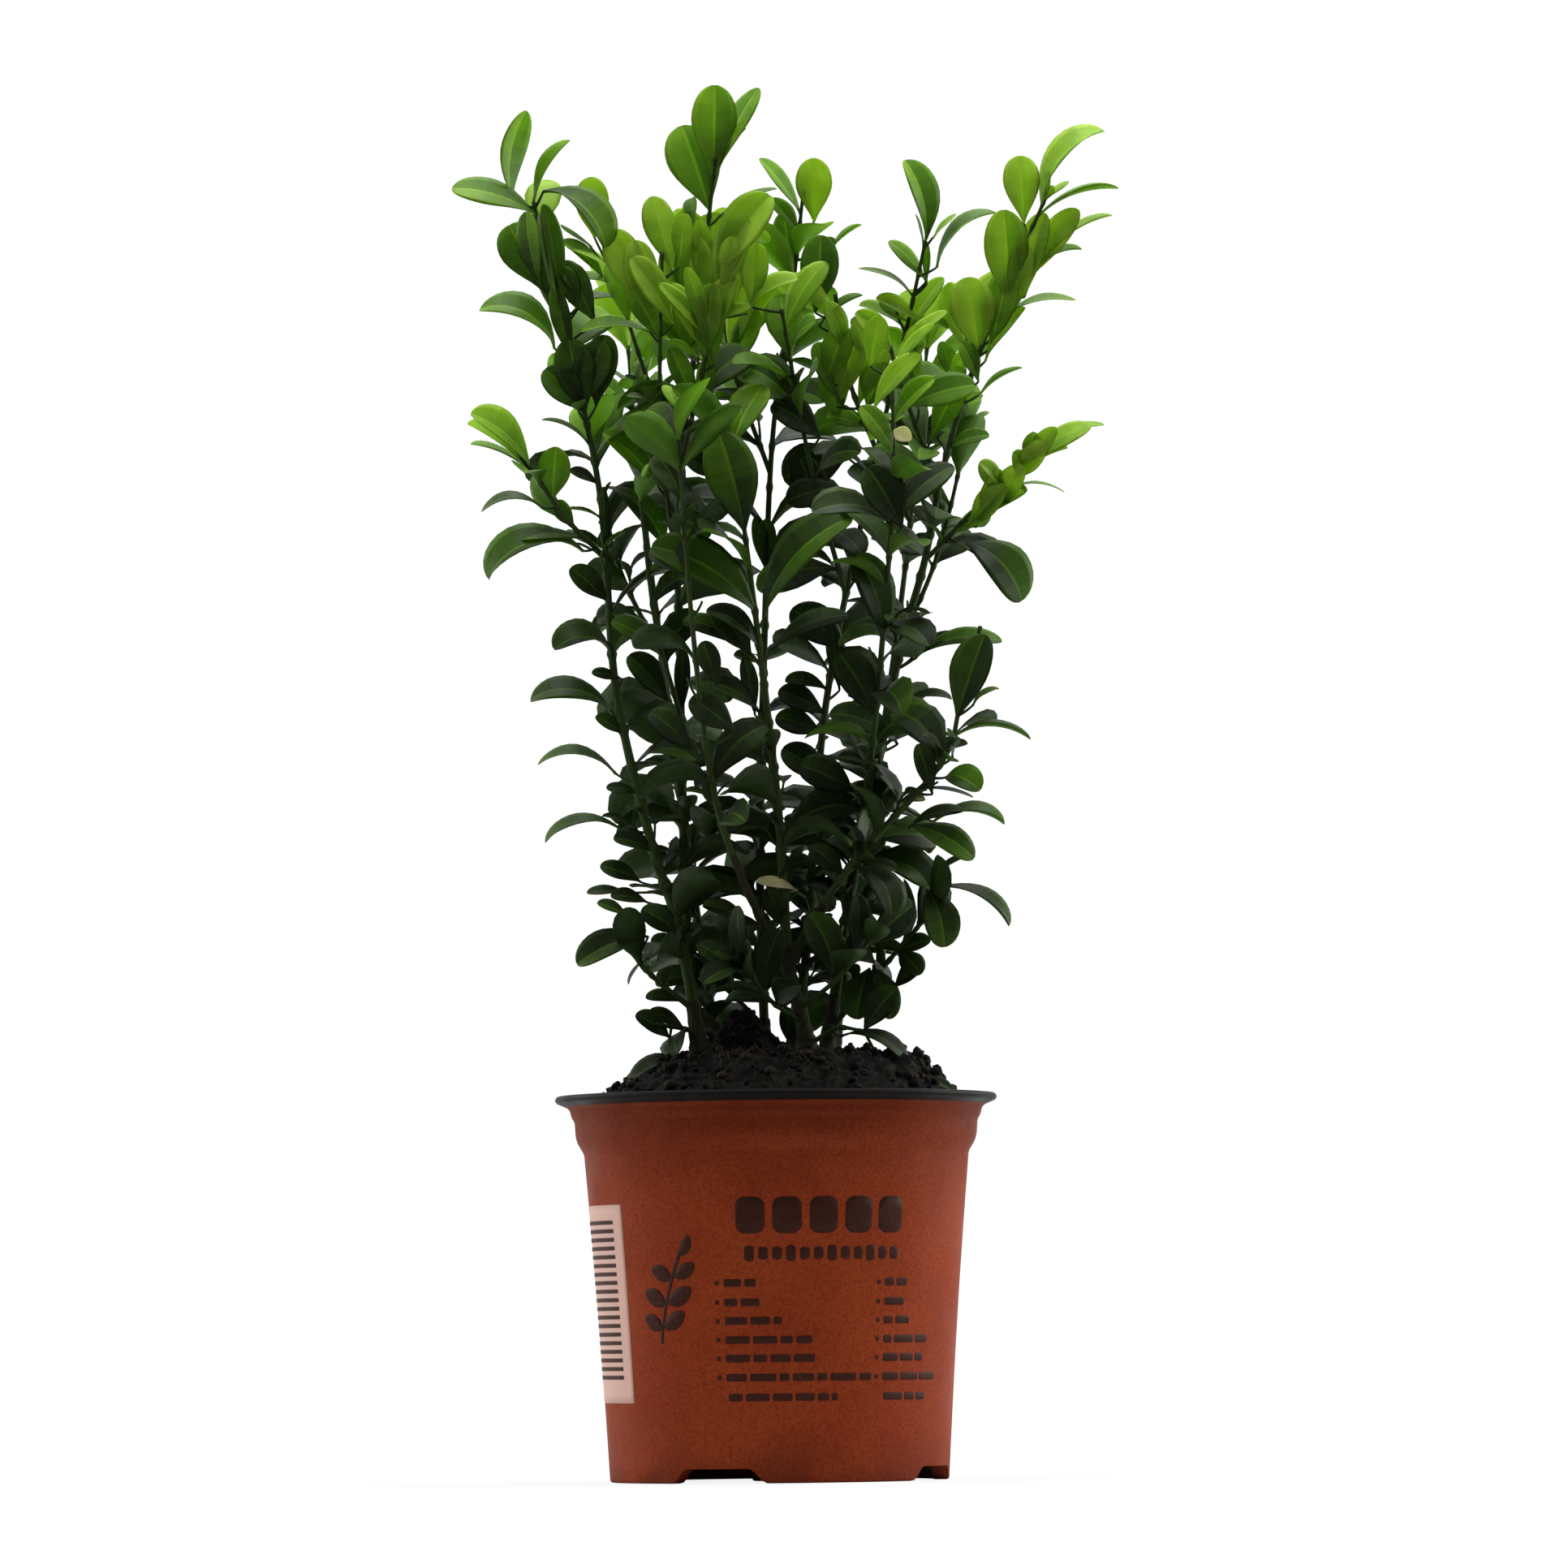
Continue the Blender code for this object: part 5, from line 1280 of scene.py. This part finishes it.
    (27, 133, 36, 144, 3, 30, 40, 60, 10), (20, 136, 25, 145, 2, 10, 20, 60, 8),
    (47, 201, 43, 216, 3, -10, 30, 40, 10), (39, 339, 27, 346, 3, -60, 30, 50, 69),
    (42, 341, 33, 347, 3, -40, 20, 60, 75), (-48, 354, -61, 366, 2, -50, 40, 40, 60),
    (-56, 346, -61, 358, 0, -10, 30, 52, 42), (10, 367, 1, 378, 0, -40, 20, 50, 48),
    (-36, 185, -47, 189, 3, -40, 40, 60, 12), (-37, 170, -48, 172, 3, -40, 40, 50, 12),
    (-62, 348, -66, 377, 3, -30, 20, 24, 41), (-58, 330, -63, 353, 3, 10, 20, 26, 35),
    (-23, 317, -29, 334, 6, -10, 30, 36, 54), (-19, 316, -18, 331, 6, 5, 30, 36, 48),
    (-26, 358, -24, 374, 4, 10, 20, 40, 82), (-19, 358, -20, 372, 4, -5, 20, 40, 92),
    (-11, 353, -10, 367, 5, 5, 20, 44, 92), (22, 333, 18, 347, 5, -20, 30, 46, 76),
    (28, 331, 26, 342, 6, -10, 30, 50, 86), (42, 328, 44, 340, 7, 10, 30, 44, 88),
    (56, 316, 55, 328, 6, 0, 30, 50, 64), (-16, 342, -5, 346, 6, 40, 40, 36, 92),
    (-19, 336, -32, 353, 8, -30, 30, 26, 82), (-21, 335, -37, 348, 8, -40, 30, 24, 76),
    (-18, 336, -24, 358, 9, -10, 20, 24, 72), (37, 332, 26, 344, 5, -25, 30, 50, 78),
    (53, 322, 59, 333, 8, 30, 20, 32, 76), (36, 309, 42, 306, 9, 0, 30, 45, 200),
    (-23, 120, -43, 116, 4, -60, 110, 34, 5), (19, 130, 39, 122, 6, 60, 90, 34, 5),
    (34, 117, 52, 114, 3, 50, 50, 26, 6), (28, 150, 24, 135, 6, -20, 50, 62, 16),
    (29, 151, 34, 135, 5, 20, 50, 48, 8), (35, 156, 43, 148, 4, 20, 30, 70, 8),
    (23, 301, 4, 295, 3, -10, 30, 70, 5), (15, 282, 9, 301, 3, 0, 20, 56, 4),
    (22, 244, 6, 256, 3, -20, 50, 60, 5), (-16, 234, -20, 247, 2, 0, 30, 50, 5),
    (15, 225, 2, 232, 2, -30, 40, 60, 5), (-5, 225, -8, 242, 2, -10, 30, 30, 5),
    (16, 205, 3, 215, 2, -20, 40, 60, 5), (-1, 267, -4, 284, 4, 0, 20, 28, 20),
    (40, 191, 56, 196, 3, 60, 60, 46, 14), (37, 153, 46, 158, 3, 40, 30, 60, 10),
    (-29, 160, -39, 168, 3, -30, 40, 60, 8), (-26, 134, -37, 138, 3, -40, 40, 46, 8),
    (-47, 271, -49, 293, 2, 0, 10, 15, 12), (47, 352, 47, 365, 2, 0, 10, 20, 51),
    (75, 297, 85, 309, 13, 20, 30, 32, 88), (62, 282, 68, 297, 11, -10, 20, 34, 72),
    (0, 244, 23, 254, 4, 50, 60, 40, 8), (-3, 244, -19, 256, 5, -50, 70, 46, 10),
)
JOINED = 2.2  # how far a posed leaf's root may be from a twig before it has a stalk of its own
STALK_DROP = 4.0  # how far below the root such a stalk leaves its twig
DEPTH_COST = 0.06  # how much nearer a line has to look for each millimetre that it lies deeper
GIVE_WAY, GIVE_WAY_DEEP = 7.0, 16.0  # how close a leaf may come to a posed one, as seen and behind it


def posed_leaves(twigs):
    """The leaves of POSED, rooted on the nearest lines of growth, and the stalks of those that lie off them.

    Its chord runs from root to tip. Square to that, its upper side looks to the front, turned by its facing,
    and it bends evenly away from its upper side, half before its middle and half after.
    """
    lines = np.vstack([twig.line for twig in twigs])
    shown = seen(lines)
    leaves, stalks = [], []
    for place in map(Posed._make, POSED):
        away = np.hypot(shown[:, 0] - place.x, shown[:, 2] - place.z)
        nearest = np.argmin(away + DEPTH_COST * lines[:, 1])
        joint = root = lines[nearest]
        if away[nearest] > JOINED:
            root = behind(place.x, place.z, joint[1])
            joint = lines[np.argmin(np.linalg.norm(lines - (root - (0, 0, STALK_DROP)), axis=1))]
            t = np.linspace(0, 1, 6)[:, None]
            stalks.append(joint + (root - joint) * t - np.array([0, 0, 1.0]) * (1 - t) * t)
        chord = behind(place.tip_x, place.tip_z, root[1] - place.nearer) - root
        reach = np.linalg.norm(chord)
        along = chord / reach
        front = np.array([0, -1.0, 0])
        front = unit(front - front.dot(along) * along)
        facing, bend = math.radians(place.facing), math.radians(place.bend or 1)
        upper = math.cos(facing) * front + math.sin(facing) * np.cross(front, along)
        length = reach * (bend / 2) / math.sin(bend / 2)
        leaves.append(Leaf(root, along, -upper, -bend / 2, bend, 0.0, length,
                           place.tone / 100, place.width / 100))
    return leaves, stalks


def middles(leaves):
    """A place near the middle of each leaf."""
    none = np.zeros((len(leaves), 1))
    return leaf_points(leaves, none + 0.6, none, none)[:, 0]


def give_way(leaves, posed):
    """The leaves whose middles are neither close to a posed leaf's nor anywhere in front of it."""
    own, theirs = middles(leaves), middles(posed)
    apart = seen(own)[:, None] - seen(theirs)[None]
    away, deeper = np.hypot(apart[..., 0], apart[..., 2]), own[:, None, 1] - theirs[None, :, 1]
    close = (away < GIVE_WAY) & (deeper < GIVE_WAY_DEEP)
    return [leaf for leaf, gone in zip(leaves, close.any(axis=1)) if not gone]


TIP_SIZES = (0.42, 0.24)  # of the unfolding pairs, against a full leaf
TIP_LIGHTER = 0.08


def tip_leaves(twig, dice):
    """The unfolding leaves at the end of a twig: a small upright pair, and often a smaller one inside it."""
    foot, ahead, across, beside = at_run(twig.line, lengths(twig.line)[-1] - 0.3)
    leaves = []
    for rank, size in enumerate(TIP_SIZES[:dice.choice((1, 2, 2))]):
        for side in (0, 180):
            turn = math.radians(twig.face + 90 * (rank + 1) + side + dice.uniform(-15, 15))
            set_at = dice.uniform(10, 24), dice.uniform(4, 24), dice.uniform(-20, 20)
            leaves.append(Leaf(foot, ahead, heading(turn, across, beside), *map(math.radians, set_at),
                               twig.leaf * size * dice.uniform(0.8, 1.2),
                               tone_of(foot, 1.0, dice) + TIP_LIGHTER))
    return leaves


SPRIG_HEIGHTS = (185, 215, 295, 320)
SPRIG_SHARES = (0.95, 0.2, 0.12, 0.45)  # of the axils at each height that bear a sprig
TOO_YOUNG = 0.55  # for a sprig in the axil


def side_sprigs(pairs, seed):
    """Short side twigs in the axils of older leaves: a bent stalk and one or two pairs of small leaves."""
    dice = random.Random(seed)
    lines, leaves = [], []
    for _, young, foot, ahead, across, beside, turn in pairs:
        for side in (0, 180):
            if young > TOO_YOUNG or dice.random() > np.interp(foot[2], SPRIG_HEIGHTS, SPRIG_SHARES):
                continue
            out = heading(math.radians(turn + side + dice.uniform(-25, 25)), across, beside)
            length = dice.uniform(4, 10)
            lean = math.radians(dice.uniform(25, 50))
            t = np.linspace(0, 1, 6)[:, None]
            line = foot + length * (t * math.cos(lean) * ahead + (t - 0.25 * t**2) * math.sin(lean) * out)
            lines.append(line)
            tip = unit(line[-1] - line[-2])
            first = unit(np.cross(tip, dice.choice((across, beside)) + 0.3 * out))
            second = np.cross(tip, first)
            for rank in range(dice.choice((1, 2, 2))):
                root = line[-1 - 2 * rank]
                for k, way in enumerate((first, -first)):
                    way = way if rank % 2 == 0 else (second if k else -second)
                    size = dice.uniform(7, 11) + 1.5 * rank
                    set_at = dice.uniform(28, 58), dice.uniform(10, 55), dice.uniform(-40, 40)
                    leaf = Leaf(root, tip, way, *map(math.radians, set_at), size,
                                tone_of(foot, 0.5 * young, dice))
                    if not fills_opening(leaf):
                        leaves.append(leaf)
    return lines, leaves


def make_twigs(twigs, paired, small, material):
    """Green twigs: four-angled tubes, thicker where each pair of leaves is joined to them."""
    shell = Shell()
    sides, step = 10, 0.8
    for twig, pairs in zip(twigs, paired):
        run = lengths(twig.line)
        at = np.append(np.arange(twig.start, run[-1] - step / 2, step), run[-1])
        line = part_way(twig.line, run, at)
        radii = 0.92 * np.interp(at, [twig.start, run[-1]], [twig.girth, TIP_GIRTH])
        for joint, *_ in pairs:
            radii = radii * (1 + 0.4 * np.exp(-(at - joint) ** 2))
        radii = radii[:, None] * (1 + 0.08 * np.cos(4 * turns(sides)))
        shell.add(rings(line, radii, sides), tube_faces(len(line), sides))
    for line in small:
        shell.add(rings(line, np.linspace(0.5, 0.35, len(line)), 5), tube_faces(len(line), 5))
    return shell.make("green_twigs", [material])


# Stage, light and camera

def make_stage():
    """A pale floor that fades into the white room round it."""
    sides, count, reach = 96, 29, 2500
    radius = np.linspace(0, 1, count + 1)[1:, None] ** 1.5 * reach
    points = round_z(radius, turns(sides), 0.0).reshape(-1, 3)
    shell = Shell()
    shell.add(np.concatenate([points, np.zeros((1, 3))]),
              [grid_faces(count, sides, around=True)[:, ::-1], fan(sides, count * sides)])
    finish = Finish("pale floor", Roughness=0.9, Base_Color=(0.6, 0.6, 0.6, 1))
    white = finish.node("Emission", None, {"Color": (1, 1, 1, 1), "Strength": 1.0})
    to_eye = finish.node("LightPath", out="Is Camera Ray")
    lit = finish.node("MixShader", None, {0: to_eye * 0.88, 1: finish.skin, 2: white})
    far = finish.node("VectorMath", {"operation": "LENGTH"}, {0: finish.place}, out=1)
    finish.mix(finish.limit(far, 0.10, 0.42), lit, finish.node("BsdfTransparent"))
    shell.make("floor", [finish.material])


def make_world():
    """A white room: plain white to the eye, and as light, bright above and behind and dimmer in front."""
    world = bpy.data.worlds.new("white room")
    world.use_nodes = True
    bpy.context.scene.world = world
    room = Nodes(world.node_tree, "World Output")
    behind_it = room.node("SeparateXYZ", None, {0: room.node("TexCoord", out="Generated")}, out="Y")
    light = room.node("Background", None, {"Strength": room.limit(behind_it, -1, 0.6, 0.24, 1.3)})
    plain = room.node("Background", None, {"Color": (1, 1, 1, 1), "Strength": 1.05})
    room.mix(room.node("LightPath", out="Is Camera Ray"), light, plain)


def soft_light(name, place, aim, size, power):
    """A square soft box at a place in metres, turned towards another."""
    lamp = bpy.data.lights.new(name, "AREA")
    lamp.shape, lamp.size, lamp.energy = "SQUARE", size, power
    obj = bpy.data.objects.new(name, lamp)
    obj.location = place
    obj.rotation_euler = (Vector(aim) - Vector(place)).to_track_quat("-Z", "Y").to_euler()
    bpy.context.scene.collection.objects.link(obj)


CAMERA_AT = (-0.5, -2567.0, 39.0)
CAMERA_PITCH, CAMERA_YAW, CAMERA_ROLL = 0.0644, 0.0015, 0.01037
CAMERA_FOCUS = 10762 / 1932  # focal length against the width of the view


def make_camera():
    """A long lens near the floor, tipped up a little."""
    ahead = np.array([math.sin(CAMERA_YAW), math.cos(CAMERA_YAW), 0])
    right = np.array([math.cos(CAMERA_YAW), -math.sin(CAMERA_YAW), 0])
    up = np.array([0, 0, math.cos(CAMERA_PITCH)]) - ahead * math.sin(CAMERA_PITCH)
    ahead = ahead * math.cos(CAMERA_PITCH) + np.array([0, 0, math.sin(CAMERA_PITCH)])
    c, s = math.cos(CAMERA_ROLL), math.sin(CAMERA_ROLL)
    turned = np.column_stack([c * right - s * up, s * right + c * up, -ahead])
    data = bpy.data.cameras.new("camera")
    data.sensor_width = 36.0
    data.lens = 36.0 * CAMERA_FOCUS
    camera = bpy.data.objects.new("camera", data)
    camera.matrix_world = Matrix.Translation(Vector(CAMERA_AT) * MM) @ Matrix(turned.tolist()).to_4x4()
    bpy.context.scene.collection.objects.link(camera)
    bpy.context.scene.camera = camera


LIGHTS = (  # name, place and aim in metres, size and power
    ("light_above", (0.1, 0.15, 1.5), (0, 0, 0.25), 1.2, 26),
    ("light_left", (-1.3, 0.5, 0.6), (0, 0, 0.2), 1.0, 8),
    ("light_right", (1.3, 0.5, 0.6), (0, 0, 0.2), 1.0, 13),
)
TONES = (0.0, 0.14, 0.26, 0.40, 0.55, 0.70, 0.90)
BLADES = ((0.014, 0.024, 0.008), (0.030, 0.054, 0.013), (0.050, 0.096, 0.014), (0.076, 0.152, 0.014),
          (0.115, 0.232, 0.016), (0.178, 0.325, 0.022), (0.290, 0.455, 0.042))
GLOWS = ((0.045, 0.08, 0.012), (0.10, 0.18, 0.016), (0.16, 0.30, 0.02), (0.23, 0.45, 0.024),
         (0.34, 0.61, 0.03), (0.48, 0.77, 0.05), (0.66, 0.90, 0.09))


BACK_BLOOM = (0.005, 0.009, 0.004)  # added to the colour of the backs


def tone_colour(tone, colours):
    """The colour at a tone, between the two named ones next to it."""
    return tuple(float(np.interp(tone, TONES, part)) for part in zip(*colours))


def leaf_skins():
    """A skin for each level of green, for the leaves' own greens and painted light and shade alike, then the
    paler backs.
    """
    skins = []
    for level in range(LEVELS):
        tone = (level + 0.5) * LEVEL_STEP
        blade, glow = tone_colour(tone, BLADES), tone_colour(tone, GLOWS)
        skins.append(leaf_skin(f"leaf green {level + 1}", blade, glow))
    for back in range(BACKS):
        tone = (back + 0.5) * LEVELS * LEVEL_STEP / BACKS
        pale = tuple(1.2 * c + more for c, more in zip(tone_colour(tone, BLADES), BACK_BLOOM))
        skins.append(leaf_skin(f"leaf back {back + 1}", pale, tone_colour(tone, GLOWS), 0.55))
    skins.append(leaf_skin("dry leaf", (0.80, 0.72, 0.42), (0.8, 0.7, 0.4), 0.6))
    return skins


SHADE_SEED, SPRIG_SEED, TIP_SEED, LEAF_SEED = 3, 500, 700, 8
LEAF_LAYERS = (("low", 0, 230), ("middle", 230, 310), ("top", 310, 999))  # by the height of leaves' roots


def main():
    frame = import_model()
    bpy.context.scene.view_settings.view_transform = "Standard"
    make_camera()
    make_world()
    make_stage()
    for light in LIGHTS:
        soft_light(*light)

    # the clay gets painted shade under its lip
    clay = plastic("terracotta plastic", (0.32, 0.052, 0.014), (0.27, 0.040, 0.011), 0.55, soiled=0.5)
    lining = plastic("black plastic", (0.016, 0.014, 0.013), (0.011, 0.010, 0.009), 0.45)
    ink_black, white = ink(), paper((0.70, 0.44, 0.36))
    soil_finish = peat()
    pot = make_pot(clay, lining)
    marks, label = make_marks(ink_black, white)
    soil = make_soil(soil_finish)
    crumbs = make_crumbs([soil_finish, bark("brown crumb", (0.02, 0.014, 0.009), (0.008, 0.006, 0.005))])
    fibres = make_fibres(bark("fibre", (0.035, 0.022, 0.012), (0.015, 0.01, 0.006)))
    pieces = [(pot, "pot", ["pot"]), (marks, "pot", []), (label, "pot", []), (soil, "soil", ["soil"]),
              (crumbs, "soil", []), (fibres, "soil", [])]

    limbs, twigs = plan_limbs()
    stem_bark = bark("young bark", (0.022, 0.030, 0.011), (0.032, 0.025, 0.015))
    for limb in limbs:
        pieces.append((make_limb(limb, stem_bark), "bark", [limb.node]))
    shades = random.Random(SHADE_SEED)
    leafy = sorted({twig.node for twig in twigs})
    trees = {node: solid_tree(frame["nodes"][node]) for node in leafy}
    leaves, paired, lines = [], [], []
    for index, twig in enumerate(twigs):
        grown, pairs = grow_leaves(twig, trees[twig.node], shades)
        small_lines, small_leaves = side_sprigs(pairs, SPRIG_SEED + index)
        leaves += grown + small_leaves + tip_leaves(twig, random.Random(TIP_SEED + index))
        paired.append(pairs)
        lines += small_lines
    posed, stalks = posed_leaves(twigs)
    leaves = [leaf for leaf in give_way(leaves, posed) if not fills_opening(leaf)]
    green = bark("green twig", (0.035, 0.075, 0.015), (0.034, 0.045, 0.014))
    pieces.append((make_twigs(twigs, paired, lines + stalks, green), "leaf", leafy))
    dice = np.random.default_rng(LEAF_SEED)
    skins = leaf_skins()
    for name, low, high in LEAF_LAYERS:
        shell = Shell()
        own, theirs = ([leaf for leaf in some if low <= leaf.root[2] < high] for some in (leaves, posed))
        add_leaves(shell, own, dice, LEAF_ROWS, ROW_SHADES)
        add_leaves(shell, theirs, dice, FINE_ROWS, FINE_SHADES)
        pieces.append((shell.make("leaves_" + name, skins), "leaf", leafy))

    for piece_made, slot, nodes in pieces:
        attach(piece_made, "root")
        if nodes:
            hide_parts(*nodes)


main()
